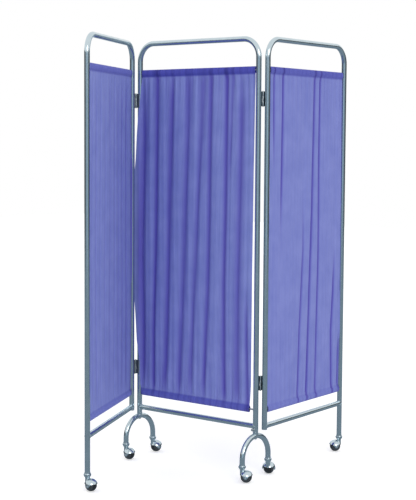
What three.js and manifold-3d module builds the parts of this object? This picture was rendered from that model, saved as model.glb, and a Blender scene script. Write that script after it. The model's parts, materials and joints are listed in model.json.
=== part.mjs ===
// A ward privacy screen: three curtained frames of bright round tube, hinged in a zigzag, on six ball casters.
// Lengths are in millimetres and angles in degrees. X runs along the centre frame, -Y is its front, +Z is up.

import * as THREE from "three";
import { mergeVertices } from "three/addons/utils/BufferGeometryUtils.js";
import Module from "manifold-3d";

// Frames: inverted U tubes with a straight rail near the bottom
const screenHeight = 1800;
const centreWidth = 634;
const sideWidth = 613;
const tubeRadius = 11.1;
const tubeWall = 1.5;
const cornerRadius = 75;
const railRise = 23.9;
const innerPostDrop = 14.6;
const seatGap = 0.3;

// Zigzag: how far each side frame is swung from standing in line with the centre frame
const leftFold = 115.5;
const rightFold = 93.4;
const postGap = 3.8;

// Butt hinges, their leaves welded on the posts
const upperHingeDrop = 252;
const lowerHingeRise = 177.4;
const hingeLength = 60;
const middleKnuckleLength = 20;
const leafThickness = 1.4;
const leafGap = 0.2;
const leafLap = 5;
const barrelRadius = 3.3;
const hingePinRadius = 1.8;
const hingePinHeadRadius = 2.8;
const hingePinHeadHeight = 1.8;
const runningClearance = 0.3;

// Curtains, each gathered on two thin rods
const curtainDrop = 122;
const curtainRise = 54;
const rodRadius = 3.5;
const rodSeat = 4;
const rodInset = 14;
const pocketHalfDepth = 5.5;
const clothHalfDepth = 1.5;
const hemStitch = 27;
const rodPocketSwing = 0.6;
const clothSwing = 8.5;
const curtainSideGap = 1.5;
const centreCurtainTaper = 17;

// Arched feet under the centre frame's posts
const footSpan = 176;
const footLegLength = 15.6;
const footCollarHeight = 4.5;
const spigotClearance = 0.4;
const spigotLength = 50;
const footBoltRadius = 4;
const footBoltHeadRadius = 6.5;
const footBoltHeadHeight = 4;
const footBoltLength = 18;
const lockScrewRise = 11.4;
const lockScrewRadius = 3;
const lockNutRadius = 4.8;
const lockNutThickness = 4;
const lockScrewNeck = 4;
const lockKnobRadius = 5.5;
const lockKnobLength = 6;

// Casters: a hooded ball wheel trailing behind a swivel stem
const casterHeight = 73.5;
const wheelRadius = 24;
const treadHalfWidth = 5;
const shoulderHalfWidth = 14;
const wheelHalfWidth = 20.5;
const casterTrail = 17;
const hoodClearance = 2;
const hoodWall = 1.4;
const hoodRimRise = 5;
const lugHalfWidth = 7.5;
const lugDrop = 6.5;
const casterAxleRadius = 3;
const casterAxleCapRise = 1.4;
const stemPlugEndGap = 1.5;
const stemFlangeRadius = 12.4;
const stemFlangeThickness = 3;
const stemPinRadius = 4;
const stemPinLength = 15;
const neckTopRadius = 12;
const neckRimRadius = 15.2;
const neckChamfer = 3.6;
const neckRimHeight = 6;
const neckTaperShare = 0.625;
const neckFootRadius = 8.5;
const neckFootRise = 20.9;

// Where each caster's wheel points at rest, counted from the frame that carries it
const swivels = {
  left_outer: -105.5,
  left_front: 8,
  left_rear: 70,
  right_front: 30,
  right_rear: 113,
  right_outer: -45,
};

// How finely the round pieces are cut
const tubeSides = 16;
const boreSides = 8;
const bendSteps = 6;
const smallSides = 8;
const wheelSides = 14;
const hoodSides = 14;
const hoodRings = 8;
const columnsPerFold = 4;
const overrun = 5;

const halfTurn = Math.PI;
const fullTurn = 2 * Math.PI;
const quarterTurn = Math.PI / 2;
const tubeBore = tubeRadius - tubeWall;
const footApexHeight = casterHeight + footLegLength + footSpan / 2;
const centrePostEnd = footApexHeight + tubeRadius + footCollarHeight;
const railHeight = centrePostEnd + railRise;
const innerPostEnd = railHeight - innerPostDrop;
const lowerHingeHeight = railHeight + lowerHingeRise;
const upperHingeHeight = screenHeight - upperHingeDrop;
const curtainBottom = railHeight + curtainRise;
const curtainTop = screenHeight - curtainDrop;
const topTubeHeight = screenHeight - tubeRadius;
const topRodHeight = curtainTop - rodInset;
const bottomRodHeight = curtainBottom + rodInset;
const hingeReach = tubeRadius + postGap / 2;
const hingeDepth = tubeRadius + seatGap + leafThickness + leafGap;
const rodBore = rodRadius + runningClearance;

const wasm = await Module();
wasm.setup();

function finish(color, roughness, metalness) {
  return new THREE.MeshStandardMaterial({ color, roughness, metalness });
}

const chrome = finish(0xb9c4c9, 0.12, 1);
const steel = finish(0x8d979c, 0.35, 1);
const cloth = finish(0x6469b4, 0.85, 0);
const rubber = finish(0x1b1e24, 0.7, 0);

function piece(name, geometry, material) {
  const mesh = new THREE.Mesh(geometry, material.clone());
  mesh.name = name;
  return mesh;
}

// Closed solids from three.js geometry, for cutting and joining

function facingOut(geometry) {
  const place = geometry.attributes.position;
  const index = geometry.index.array;
  const [a, b, c] = [new THREE.Vector3(), new THREE.Vector3(), new THREE.Vector3()];
  let volume = 0;
  for (let i = 0; i < index.length; i += 3) {
    a.fromBufferAttribute(place, index[i]);
    b.fromBufferAttribute(place, index[i + 1]);
    c.fromBufferAttribute(place, index[i + 2]);
    volume += a.dot(b.cross(c));
  }
  if (volume < 0) {
    for (let i = 0; i < index.length; i += 3) {
      [index[i], index[i + 1]] = [index[i + 1], index[i]];
    }
  }
  return geometry;
}

function closedSkin(geometry) {
  const bare = geometry.clone();
  bare.deleteAttribute("normal");
  bare.deleteAttribute("uv");
  const merged = mergeVertices(bare);
  const kept = [];
  const index = merged.index.array;
  for (let i = 0; i < index.length; i += 3) {
    const [a, b, c] = [index[i], index[i + 1], index[i + 2]];
    if (a !== b && b !== c && c !== a) {
      kept.push(a, b, c);
    }
  }
  merged.setIndex(kept);
  return facingOut(merged);
}

function solid(geometry) {
  const skin = closedSkin(geometry);
  const vertProperties = new Float32Array(skin.attributes.position.array);
  const triVerts = new Uint32Array(skin.index.array);
  return new wasm.Manifold(new wasm.Mesh({ numProp: 3, vertProperties, triVerts }));
}

function geometryOf(body) {
  const { vertProperties, triVerts } = body.getMesh();
  const geometry = new THREE.BufferGeometry();
  geometry.setAttribute("position", new THREE.BufferAttribute(new Float32Array(vertProperties), 3));
  geometry.setIndex(Array.from(triVerts));
  geometry.computeVertexNormals();
  return geometry;
}

function cut(body, ...tools) {
  return tools.reduce((rest, tool) => rest.subtract(tool), body);
}

// Basic shapes, upright along Z unless they are turned

function turned(profile, sides) {
  const points = profile.map(([radius, height]) => new THREE.Vector2(radius, height));
  return new THREE.LatheGeometry(points, sides).rotateX(quarterTurn);
}

function rod(radius, low, high, sides = smallSides) {
  return turned([[0, low], [radius, low], [radius, high], [0, high]], sides);
}

// A round hole whose flats lie on its radius
function hole(radius, low, high) {
  return rod(overFlats(radius, smallSides), low, high);
}

function block(x, y, z) {
  const box = new THREE.BoxGeometry(x[1] - x[0], y[1] - y[0], z[1] - z[0]);
  return box.translate((x[0] + x[1]) / 2, (y[0] + y[1]) / 2, (z[0] + z[1]) / 2);
}

function ringPoints(radius, sides) {
  const points = [];
  for (let i = 0; i < sides; i += 1) {
    const angle = (i / sides) * fullTurn;
    points.push(new THREE.Vector2(radius * Math.cos(angle), radius * Math.sin(angle)));
  }
  return points;
}

// The radius that a many-sided round needs for its flats to lie on the true radius
function overFlats(radius, sides) {
  return radius / Math.cos(halfTurn / sides);
}

// Straight runs joined by round bends, with places only where the tube bends
class BentRoute extends THREE.Curve {
  constructor(corners, bendRadius) {
    super();
    const places = corners.map((corner) => new THREE.Vector3(...corner));
    const run = (i) => places[i + 1].clone().sub(places[i]).normalize();
    this.stations = [{ point: places[0], tangent: run(0) }];
    for (let i = 1; i < places.length - 1; i += 1) {
      this.addBend(places[i], run(i - 1), run(i), bendRadius);
    }
    this.stations.push({ point: places.at(-1), tangent: run(places.length - 2) });
  }

  addBend(corner, before, after, bendRadius) {
    const turn = before.angleTo(after);
    const inward = after.clone().sub(before).normalize();
    const centre = corner.clone().addScaledVector(inward, bendRadius / Math.cos(turn / 2));
    const side = after.clone().addScaledVector(before, -after.dot(before)).normalize();
    for (let i = 0; i <= bendSteps; i += 1) {
      const angle = (turn * i) / bendSteps;
      const out = side.clone().multiplyScalar(-Math.cos(angle)).addScaledVector(before, Math.sin(angle));
      const tangent = before.clone().multiplyScalar(Math.cos(angle)).addScaledVector(side, Math.sin(angle));
      const point = centre.clone().addScaledVector(out, bendRadius);
      if (point.distanceTo(this.stations.at(-1).point) > seatGap) {
        this.stations.push({ point, tangent });
      }
    }
  }

  station(share) {
    return this.stations[Math.round(share * (this.stations.length - 1))];
  }

  getPointAt(share, target = new THREE.Vector3()) {
    return target.copy(this.station(share).point);
  }

  getTangentAt(share, target = new THREE.Vector3()) {
    return target.copy(this.station(share).tangent);
  }
}

function hollowTube(corners, bendRadius) {
  const extrudePath = new BentRoute(corners, bendRadius);
  const section = new THREE.Shape(ringPoints(tubeRadius, tubeSides));
  section.holes.push(new THREE.Path(ringPoints(overFlats(tubeBore, boreSides), boreSides)));
  const steps = extrudePath.stations.length - 1;
  return new THREE.ExtrudeGeometry(section, { extrudePath, steps, bevelEnabled: false });
}

// A cutter that leaves the seating gap round a tube
function tubeCutter(low, high) {
  return rod(overFlats(tubeRadius + seatGap, tubeSides), low, high, tubeSides);
}

// One frame, centred on its own X axis, with its rail, rods and curtain

function frameTube(width, leftEnd, rightEnd, holes) {
  const half = width / 2;
  const corners = [[-half, 0, leftEnd], [-half, 0, topTubeHeight], [half, 0, topTubeHeight], [half, 0, rightEnd]];
  const seats = [topRodHeight, bottomRodHeight].map((height) =>
    solid(hole(rodBore, -half, half).rotateY(quarterTurn).translate(0, 0, height)));
  return geometryOf(cut(solid(hollowTube(corners, cornerRadius)), ...seats, ...holes));
}

function bottomRail(width) {
  const half = width / 2;
  const bar = solid(hollowTube([[-half, 0, railHeight], [half, 0, railHeight]], cornerRadius));
  const posts = [-half, half].map((x) =>
    solid(tubeCutter(railHeight - cornerRadius, railHeight + cornerRadius).translate(x, 0, 0)));
  return geometryOf(cut(bar, ...posts));
}

function curtainRod(width, height) {
  const half = width / 2 - tubeRadius + rodSeat;
  return rod(rodRadius, -half, half).rotateY(quarterTurn).translate(0, 0, height);
}

// From the bottom up: height, half depth of the cloth, and how far its folds swing
function curtainRows() {
  const tall = curtainTop - curtainBottom - 2 * hemStitch;
  const hem = [[0, 0.35, 1], [rodInset / 2, 1, 1], [2 * rodInset - rodInset / 2, 1, 1]];
  const pocket = ([rise, depthShare, swingShare]) => ({
    rise,
    halfDepth: depthShare * pocketHalfDepth,
    swing: swingShare * rodPocketSwing,
  });
  const hangShares = [0, 0.15, 0.5, 0.85, 1];
  const swingShares = [0.45, 1, 0.9, 0.8, 0.35];
  const low = hem.map(pocket).map((row) => ({ ...row, height: curtainBottom + row.rise }));
  const high = hem.map(pocket).reverse().map((row) => ({ ...row, height: curtainTop - row.rise }));
  const hang = hangShares.map((share, i) => ({
    height: curtainBottom + hemStitch + share * tall,
    halfDepth: clothHalfDepth,
    swing: swingShares[i] * clothSwing,
  }));
  return [...low, ...hang, ...high];
}

function curtainSkin({ width, folds, wanderShare, taper }) {
  const rows = curtainRows();
  const columns = folds * columnsPerFold;
  const left = tubeRadius + curtainSideGap - width / 2;
  const right = width / 2 - tubeRadius - curtainSideGap;
  const place = [];
  for (const side of [-1, 1]) {
    for (const { height, halfDepth, swing } of rows) {
      const drop = (curtainTop - height) / (curtainTop - curtainBottom);
      for (let i = 0; i <= columns; i += 1) {
        const share = i / columns;
        const fold = folds * share + wanderShare * Math.sin(fullTurn * (share + drop));
        const x = THREE.MathUtils.lerp(left, right - taper * Math.sqrt(drop), share);
        place.push(x, swing * Math.cos(fullTurn * fold) + side * halfDepth, height);
      }
    }
  }
  const across = columns + 1;
  const back = rows.length * across;
  const index = [];
  const quad = (a, b, c, d) => index.push(a, b, c, a, c, d);
  for (let row = 0; row + 1 < rows.length; row += 1) {
    for (let i = 0; i < columns; i += 1) {
      const a = row * across + i;
      quad(a, a + 1, a + 1 + across, a + across);
      quad(back + a, back + a + across, back + a + 1 + across, back + a + 1);
    }
    const [start, end] = [row * across, row * across + columns];
    quad(start, start + across, back + start + across, back + start);
    quad(end + across, end, back + end, back + end + across);
  }
  const top = (rows.length - 1) * across;
  for (let i = 0; i < columns; i += 1) {
    quad(i + 1, i, back + i, back + i + 1);
    quad(top + i, top + i + 1, back + top + i + 1, back + top + i);
  }
  const skin = new THREE.BufferGeometry();
  skin.setAttribute("position", new THREE.Float32BufferAttribute(place, 3));
  skin.setIndex(index);
  return skin;
}

function curtain(shape) {
  const half = shape.width / 2;
  const bores = [topRodHeight, bottomRodHeight].map((height) =>
    solid(hole(rodBore, -half, half).rotateY(quarterTurn).translate(0, 0, height)));
  return geometryOf(cut(solid(curtainSkin(shape)), ...bores));
}

function panel(name, leftEnd, rightEnd, shape, holes = []) {
  const group = new THREE.Group();
  group.add(
    piece(`${name}_frame_tube`, frameTube(shape.width, leftEnd, rightEnd, holes), chrome),
    piece(`${name}_bottom_rail`, bottomRail(shape.width), chrome),
    piece(`${name}_top_rod`, curtainRod(shape.width, topRodHeight), steel),
    piece(`${name}_bottom_rod`, curtainRod(shape.width, bottomRodHeight), steel),
    piece(`${name}_curtain`, curtain(shape), cloth),
  );
  return group;
}

// Hinges. The pin stands on the group's Z axis, and both leaves lie behind it in line.

function barrel(low, high) {
  return solid(rod(barrelRadius, low, high));
}

function hingeLeaf(side, knuckles, notches) {
  const reach = side * (hingeReach + leafLap);
  const across = side > 0 ? [0, reach] : [reach, 0];
  const half = hingeLength / 2;
  const plate = solid(block(across, [leafGap, leafGap + leafThickness], [-half, half]));
  const room = notches.map(([low, high]) => solid(hole(barrelRadius + runningClearance, low, high)));
  const joined = knuckles.reduce((body, [low, high]) => body.add(barrel(low, high)), cut(plate, ...room));
  return geometryOf(cut(joined, solid(hole(hingePinRadius + runningClearance, -half - overrun, half + overrun))));
}

function hingePin() {
  const half = hingeLength / 2 + runningClearance;
  const end = half + hingePinHeadHeight;
  return turned([
    [0, -end], [hingePinHeadRadius, -end], [hingePinHeadRadius, -half], [hingePinRadius, -half],
    [hingePinRadius, half], [hingePinHeadRadius, half], [hingePinHeadRadius, end], [0, end],
  ], smallSides);
}

function centreLeaf() {
  const half = hingeLength / 2;
  const middle = middleKnuckleLength / 2;
  const ends = [[-half, -middle - runningClearance], [middle + runningClearance, half]];
  return hingeLeaf(1, ends, [[-middle - runningClearance, middle + runningClearance]]);
}

function sideLeaf() {
  const half = hingeLength / 2;
  const middle = middleKnuckleLength / 2;
  const past = half + overrun;
  return hingeLeaf(-1, [[-middle, middle]], [[-past, -middle], [middle, past]]);
}

// Feet: an arched tube on two casters, plugged into the post above it

function footArch() {
  const half = footSpan / 2;
  const corners = [[0, -half, casterHeight], [0, -half, footApexHeight], [0, half, footApexHeight], [0, half, casterHeight]];
  const reach = 2 * tubeRadius;
  const bore = hole(footBoltRadius + runningClearance, footApexHeight - reach, footApexHeight + reach);
  return geometryOf(cut(solid(hollowTube(corners, half)), solid(bore)));
}

function footSpigot() {
  const collarTop = centrePostEnd - seatGap;
  const top = centrePostEnd + spigotLength;
  const plug = tubeBore - spigotClearance;
  const chamfer = plug - 2 * spigotClearance;
  const body = turned([
    [0, footApexHeight], [tubeRadius, footApexHeight], [tubeRadius, collarTop], [plug, collarTop],
    [plug, top - 2 * spigotClearance], [chamfer, top], [0, top],
  ], smallSides);
  const saddle = tubeCutter(-2 * tubeRadius, 2 * tubeRadius).rotateX(quarterTurn).translate(0, 0, footApexHeight);
  const boltTop = footApexHeight + tubeRadius + footBoltLength + runningClearance;
  const bore = hole(footBoltRadius + runningClearance, footApexHeight - overrun, boltTop);
  return geometryOf(cut(solid(body), solid(saddle), solid(bore)));
}

// The head hangs clear of the arch, whose underside falls away from its apex
function footBolt() {
  const fall = footBoltHeadRadius * Math.tan(quarterTurn / bendSteps / 2);
  const seat = footApexHeight - tubeRadius - fall - seatGap;
  const low = seat - footBoltHeadHeight;
  const high = footApexHeight + tubeRadius + footBoltLength;
  return turned([
    [0, low], [footBoltHeadRadius / 2, low], [footBoltHeadRadius, seat - footBoltHeadHeight / 3],
    [footBoltHeadRadius, seat], [footBoltRadius, seat], [footBoltRadius, high], [0, high],
  ], smallSides);
}

const lockScrewHeight = centrePostEnd + lockScrewRise;

function lockScrewHole(x, side) {
  const bore = hole(lockScrewRadius + runningClearance, 0, tubeRadius + overrun);
  return solid(bore.rotateX(-side * quarterTurn).translate(x, 0, lockScrewHeight));
}

function lockScrew() {
  const tip = tubeBore - spigotClearance + seatGap;
  const nut = tubeRadius + seatGap;
  const nutEnd = nut + lockNutThickness;
  const knob = nutEnd + lockScrewNeck;
  const end = knob + lockKnobLength;
  return turned([
    [0, tip], [lockScrewRadius, tip], [lockScrewRadius, nut], [lockNutRadius, nut], [lockNutRadius, nutEnd],
    [lockScrewRadius, nutEnd], [lockScrewRadius, knob], [lockKnobRadius, knob], [lockKnobRadius, end], [0, end],
  ], smallSides);
}

function foot(name, side) {
  const group = new THREE.Group();
  const screw = piece(`${name}_foot_lock_screw`, lockScrew(), steel);
  screw.rotation.x = -side * quarterTurn;
  screw.position.z = lockScrewHeight;
  group.add(
    piece(`${name}_foot_arch`, footArch(), chrome),
    piece(`${name}_foot_spigot`, footSpigot(), steel),
    piece(`${name}_foot_bolt`, footBolt(), steel),
    screw,
    caster(`${name}_front`, 0, -footSpan / 2),
    caster(`${name}_rear`, 0, footSpan / 2),
  );
  return group;
}

// Casters. The wheel stands on one of its flats, so its centre is that much lower than its radius.

const wheelCentreHeight = wheelRadius * Math.cos(halfTurn / wheelSides);
const hoodInner = wheelRadius + hoodClearance;
const hoodOuter = hoodInner + hoodWall;
const neckTop = casterHeight - seatGap - stemFlangeThickness - seatGap;
const axleHoleRadius = casterAxleRadius + runningClearance;

function casterStem() {
  const flangeTop = casterHeight - seatGap;
  const flangeLow = flangeTop - stemFlangeThickness;
  const plug = tubeBore - spigotClearance;
  const plugTop = casterHeight + footLegLength - stemPlugEndGap;
  const pinLow = flangeLow - stemPinLength;
  return turned([
    [0, pinLow], [stemPinRadius, pinLow], [stemPinRadius, flangeLow], [stemFlangeRadius, flangeLow],
    [stemFlangeRadius, flangeTop], [plug, flangeTop], [plug, plugTop - spigotClearance],
    [plug - spigotClearance, plugTop], [0, plugTop],
  ], smallSides);
}

function wheel() {
  const shoulder = Math.sqrt(wheelRadius ** 2 - shoulderHalfWidth ** 2);
  const hub = Math.sqrt(wheelRadius ** 2 - wheelHalfWidth ** 2);
  const profile = [
    [axleHoleRadius, -wheelHalfWidth], [hub, -wheelHalfWidth], [shoulder, -shoulderHalfWidth],
    [wheelRadius, -treadHalfWidth], [wheelRadius, treadHalfWidth], [shoulder, shoulderHalfWidth],
    [hub, wheelHalfWidth], [axleHoleRadius, wheelHalfWidth], [axleHoleRadius, -wheelHalfWidth],
  ];
  const flatDown = halfTurn / wheelSides;
  return turned(profile, wheelSides).rotateZ(flatDown).rotateX(quarterTurn);
}

function ball(radius) {
  return solid(new THREE.SphereGeometry(radius, hoodSides, hoodRings).translate(casterTrail, 0, wheelCentreHeight));
}

function acrossHood(radius, half) {
  return solid(hole(radius, -half, half).rotateX(quarterTurn).translate(casterTrail, 0, wheelCentreHeight));
}

function hood() {
  const wide = hoodOuter + overrun;
  const [near, far] = [casterTrail - wide, casterTrail + wide];
  const rim = wheelCentreHeight + hoodRimRise;
  const lugLow = wheelCentreHeight - lugDrop;
  const upper = solid(block([near, far], [-wide, wide], [rim, casterHeight]));
  const lugs = solid(block([casterTrail - lugHalfWidth, casterTrail + lugHalfWidth], [-wide, wide], [lugLow, rim + overrun]));
  const rimTop = neckTop - neckChamfer;
  const rimLow = rimTop - neckRimHeight;
  const footLow = wheelCentreHeight + neckFootRise;
  const taperLow = THREE.MathUtils.lerp(rimLow, footLow, neckTaperShare);
  const neck = solid(turned([
    [0, footLow], [neckFootRadius, footLow], [neckFootRadius, taperLow],
    [neckRimRadius, rimLow], [neckRimRadius, rimTop], [neckTopRadius, neckTop], [0, neckTop],
  ], smallSides));
  const shell = ball(hoodOuter).intersect(upper.add(lugs)).add(neck);
  const pinLow = neckTop - stemPinLength;
  const pinHole = hole(stemPinRadius + runningClearance, pinLow, casterHeight);
  return geometryOf(cut(shell, ball(hoodInner), acrossHood(axleHoleRadius, wide), solid(pinHole)));
}

function casterAxle() {
  const end = hoodOuter + casterAxleCapRise;
  const shoulder = hoodOuter - casterAxleCapRise / 2;
  return turned([
    [0, -end], [casterAxleRadius / 2, -end], [casterAxleRadius, -shoulder],
    [casterAxleRadius, shoulder], [casterAxleRadius / 2, end], [0, end],
  ], smallSides).rotateX(quarterTurn);
}

function caster(name, x, y) {
  const group = new THREE.Group();
  const swivel = new THREE.Group();
  const hub = new THREE.Vector3(casterTrail, 0, wheelCentreHeight);
  const roller = piece(`${name}_caster_wheel`, wheel(), rubber);
  const axle = piece(`${name}_caster_axle`, casterAxle(), steel);
  roller.position.copy(hub);
  axle.position.copy(hub);
  swivel.rotation.z = THREE.MathUtils.degToRad(swivels[name]);
  swivel.add(piece(`${name}_caster_hood`, hood(), chrome), axle, roller);
  group.add(piece(`${name}_caster_stem`, casterStem(), chrome), swivel);
  group.position.set(x, y, 0);
  return group;
}

// The whole screen, each side frame swung about the pins of its two hinges

function hinges(side, name, turnDegrees) {
  const group = new THREE.Group();
  const swung = new THREE.Group();
  for (const [level, height] of [["upper", upperHingeHeight], ["lower", lowerHingeHeight]]) {
    const fixed = piece(`${name}_${level}_hinge_centre_leaf`, centreLeaf(), steel);
    const pin = piece(`${name}_${level}_hinge_pin`, hingePin(), steel);
    const moving = piece(`${name}_${level}_hinge_side_leaf`, sideLeaf(), steel);
    for (const mesh of [fixed, pin, moving]) {
      mesh.position.z = height;
    }
    group.add(fixed, pin);
    swung.add(moving);
  }
  const folds = side < 0 ? 6 : 5;
  const frame = panel(name, casterHeight, innerPostEnd, { width: sideWidth, folds, wanderShare: 0.2, taper: 0 });
  frame.add(caster(`${name}_outer`, -sideWidth / 2, 0));
  frame.position.set(-hingeReach - sideWidth / 2, hingeDepth, 0);
  swung.add(frame);
  swung.rotation.z = THREE.MathUtils.degToRad(turnDegrees);
  group.add(swung);
  group.position.set(side * (centreWidth / 2 + hingeReach), side * hingeDepth, 0);
  group.rotation.z = side < 0 ? 0 : halfTurn;
  return group;
}

const halfCentre = centreWidth / 2;
const screwHoles = [lockScrewHole(-halfCentre, 1), lockScrewHole(halfCentre, -1)];
const centreShape = { width: centreWidth, folds: 8, wanderShare: 0.3, taper: centreCurtainTaper };
const leftFoot = foot("left", 1);
const rightFoot = foot("right", -1);
leftFoot.position.x = -halfCentre;
rightFoot.position.x = halfCentre;

const screen = new THREE.Group();
screen.add(
  panel("centre", centrePostEnd, centrePostEnd, centreShape, screwHoles),
  leftFoot,
  rightFoot,
  hinges(-1, "left", leftFold),
  hinges(1, "right", rightFold),
);

// The screen stands with the middle of its plan at the origin
screen.updateMatrixWorld(true);
const extent = new THREE.Box3().setFromObject(screen, true);
const middle = extent.getCenter(new THREE.Vector3());
screen.position.set(-middle.x, -middle.y, -extent.min.z);

export default screen;
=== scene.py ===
# %% [markdown]
# # A ward privacy screen on wheels
# A ward screen is three frames of bright plated tube, hinged in a zigzag. Each frame holds a
# gathered cotton curtain on two thin rods. The middle frame stands on two arched feet, and
# ball casters with half hoods carry the whole. The measured model is loaded first. It gives
# the places and sizes, and each piece here is a finer version of one of its solids.

# %% Load the measured model
import json
import math

import bpy
import numpy as np
from mathutils import Matrix, Vector


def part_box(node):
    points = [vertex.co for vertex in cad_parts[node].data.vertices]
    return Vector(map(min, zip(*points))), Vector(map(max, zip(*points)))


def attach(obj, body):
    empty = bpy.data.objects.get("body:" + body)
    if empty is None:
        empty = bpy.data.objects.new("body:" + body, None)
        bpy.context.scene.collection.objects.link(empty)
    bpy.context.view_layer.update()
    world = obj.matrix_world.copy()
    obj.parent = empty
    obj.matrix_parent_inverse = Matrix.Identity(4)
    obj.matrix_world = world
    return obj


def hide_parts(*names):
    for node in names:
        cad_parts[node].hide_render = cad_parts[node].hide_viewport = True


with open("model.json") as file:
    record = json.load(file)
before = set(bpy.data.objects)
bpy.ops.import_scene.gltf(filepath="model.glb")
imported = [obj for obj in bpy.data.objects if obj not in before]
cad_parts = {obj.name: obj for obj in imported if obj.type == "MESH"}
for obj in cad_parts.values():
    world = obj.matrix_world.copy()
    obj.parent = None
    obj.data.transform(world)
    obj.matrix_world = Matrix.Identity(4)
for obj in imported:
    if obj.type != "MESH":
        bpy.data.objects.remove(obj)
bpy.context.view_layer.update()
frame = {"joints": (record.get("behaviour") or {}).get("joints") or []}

# %% [markdown]
# ## The camera
# The picture of the screen was taken from its front right, at about head height, with a lens
# that is long for a room. The camera's place and turn were worked out from the posts, rails
# and casters, so that they fall where they do in the picture. It comes first, because each
# later step is judged through it.

# %% Camera
PICTURE_HEIGHT = 500
FOCAL_PIXELS = 1355.28
SENSOR_SIZE = 36
CAMERA_PLACE = Vector((3.58073, -4.40822, 1.38262))
# the camera's turn is in radians
CAMERA_YAW, CAMERA_PITCH, CAMERA_ROLL = 0.6769, 0.0811, 0.0063

forward = Vector((
    -math.sin(CAMERA_YAW) * math.cos(CAMERA_PITCH),
    math.cos(CAMERA_YAW) * math.cos(CAMERA_PITCH),
    -math.sin(CAMERA_PITCH),
))
level = Vector((math.cos(CAMERA_YAW), math.sin(CAMERA_YAW), 0))
above = level.cross(forward)
camera_right = level * math.cos(CAMERA_ROLL) + above * math.sin(CAMERA_ROLL)
camera_up = above * math.cos(CAMERA_ROLL) - level * math.sin(CAMERA_ROLL)

camera_data = bpy.data.cameras.new("ward_camera")
camera_data.sensor_fit = "VERTICAL"
camera_data.sensor_width = SENSOR_SIZE
camera_data.sensor_height = SENSOR_SIZE
camera_data.lens = FOCAL_PIXELS / PICTURE_HEIGHT * SENSOR_SIZE
camera = bpy.data.objects.new("ward_camera", camera_data)
bpy.context.scene.collection.objects.link(camera)
axes = Matrix((camera_right, camera_up, -forward)).transposed()
camera.matrix_world = Matrix.Translation(CAMERA_PLACE) @ axes.to_4x4()
bpy.context.scene.camera = camera
print("lens in mm", round(camera_data.lens, 2))

# %% [markdown]
# ## Sizes and places
# All lengths are in metres here, and the screen's own sizes are easier to read in
# millimetres, so one unit turns them. Each frame has its own axes: x along the frame, y across
# it and z up. The side frames are swung about their hinge pins, whose places the model gives,
# and the right one is a left one turned half round.

# %% Sizes that every step uses
MM = 0.001
TUBE_RADIUS = 11.1 * MM
TUBE_BORE = 9.6 * MM
TUBE_TOP = 1788.9 * MM
CORNER_RADIUS = 75 * MM
CENTRE_WIDTH, SIDE_WIDTH = 634 * MM, 613 * MM
HINGE_STEP = 13 * MM
RAIL_HEIGHT = 216.6 * MM
CASTER_TOP = 73.5 * MM
HINGE_HEIGHTS = {"upper": 1548 * MM, "lower": 394 * MM}
FOLDED_DEGREES = {"left": 115.5, "right": 93.4}
OWN_TURN = {"left": 0, "right": 180}
X_SIDE = {"left": -1, "right": 1}

joints = {joint["name"]: joint for joint in frame["joints"]}


def turned_frame(turn_degrees):
    return Matrix.Rotation(math.radians(turn_degrees), 4, "Z")


def side_place(name):
    """Where a side frame's middle is, from the pin that it swings on"""
    pin = Vector(joints[f"{name}_fold"]["pos_m"])
    pin.z = 0
    side = X_SIDE[name]
    from_pin = Vector((side * (HINGE_STEP + SIDE_WIDTH / 2), -side * HINGE_STEP, 0))
    swing = turned_frame(FOLDED_DEGREES[name])
    return Matrix.Translation(pin) @ swing @ Matrix.Translation(from_pin) @ turned_frame(OWN_TURN[name])


tube_low, tube_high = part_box("centre_frame_tube")
tube_middle = (tube_low + tube_high) / 2
places = {
    "centre": Matrix.Translation((tube_middle.x, tube_middle.y, 0)),
    "left": side_place("left"),
    "right": side_place("right"),
}
for name, place in places.items():
    print(name, "frame stands at", [round(value, 4) for value in place.translation])

# %% [markdown]
# ## Colours and nodes
# A colour is written as it is read from a paint chart, in sRGB, and one function turns it to
# the linear values that Blender mixes. One more function adds a node with its settings and
# its links, which keeps each finish short enough to read in one go. The last two start a
# material or a room from an empty board.

# %% Helpers for finishes
def linear(hex_colour):
    parts = [int(hex_colour[i:i + 2], 16) / 255 for i in (1, 3, 5)]
    return [*(c / 12.92 if c <= 0.04045 else ((c + 0.055) / 1.055) ** 2.4 for c in parts), 1.0]


def add_node(tree, kind, settings=None, links=None):
    """A new node: settings are properties or unlinked sockets, and links are sockets fed by others"""
    node = tree.nodes.new(kind)
    for key, value in (settings or {}).items():
        if isinstance(key, str) and key not in node.inputs:
            setattr(node, key, value)
        else:
            node.inputs[key].default_value = value
    for key, source in (links or {}).items():
        tree.links.new(source, node.inputs[key])
    return node


def empty_tree(owner):
    """The nodes of a new material or room, cleared"""
    owner.use_nodes = True
    owner.node_tree.nodes.clear()
    return owner.node_tree


def new_finish(name):
    """A new material with its shader and output"""
    finish = bpy.data.materials.new(name)
    tree = empty_tree(finish)
    shader = add_node(tree, "ShaderNodeBsdfPrincipled")
    add_node(tree, "ShaderNodeOutputMaterial", {}, {"Surface": shader.outputs["BSDF"]})
    return finish, tree, shader


print("the curtains' violet in linear", [round(value, 3) for value in linear("#7985CC")])

# %% [markdown]
# ## Bright chromium plate
# The tubes are drawn steel with nickel and chromium plate. Drawing leaves faint lines along
# the tube, plating rounds them over, and years of wiping dull it in patches. To the eye that
# is a mirror with a slight grain, a little blue, and softer where hands have been. A metal
# shader with a low roughness does it, with noise for the wiped patches and a fine bump. The
# zinc on the rods, pins and screws is the same but duller. On the hinge leaves it is rougher
# still, and darker, which is painted shade for the gap between the posts. Patches and a
# grain are in the rubber too, so one function makes both.

# %% Chromium plate
WIPED_PATCH = 60 * MM
PLATE_GRAIN = 1.2 * MM


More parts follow.
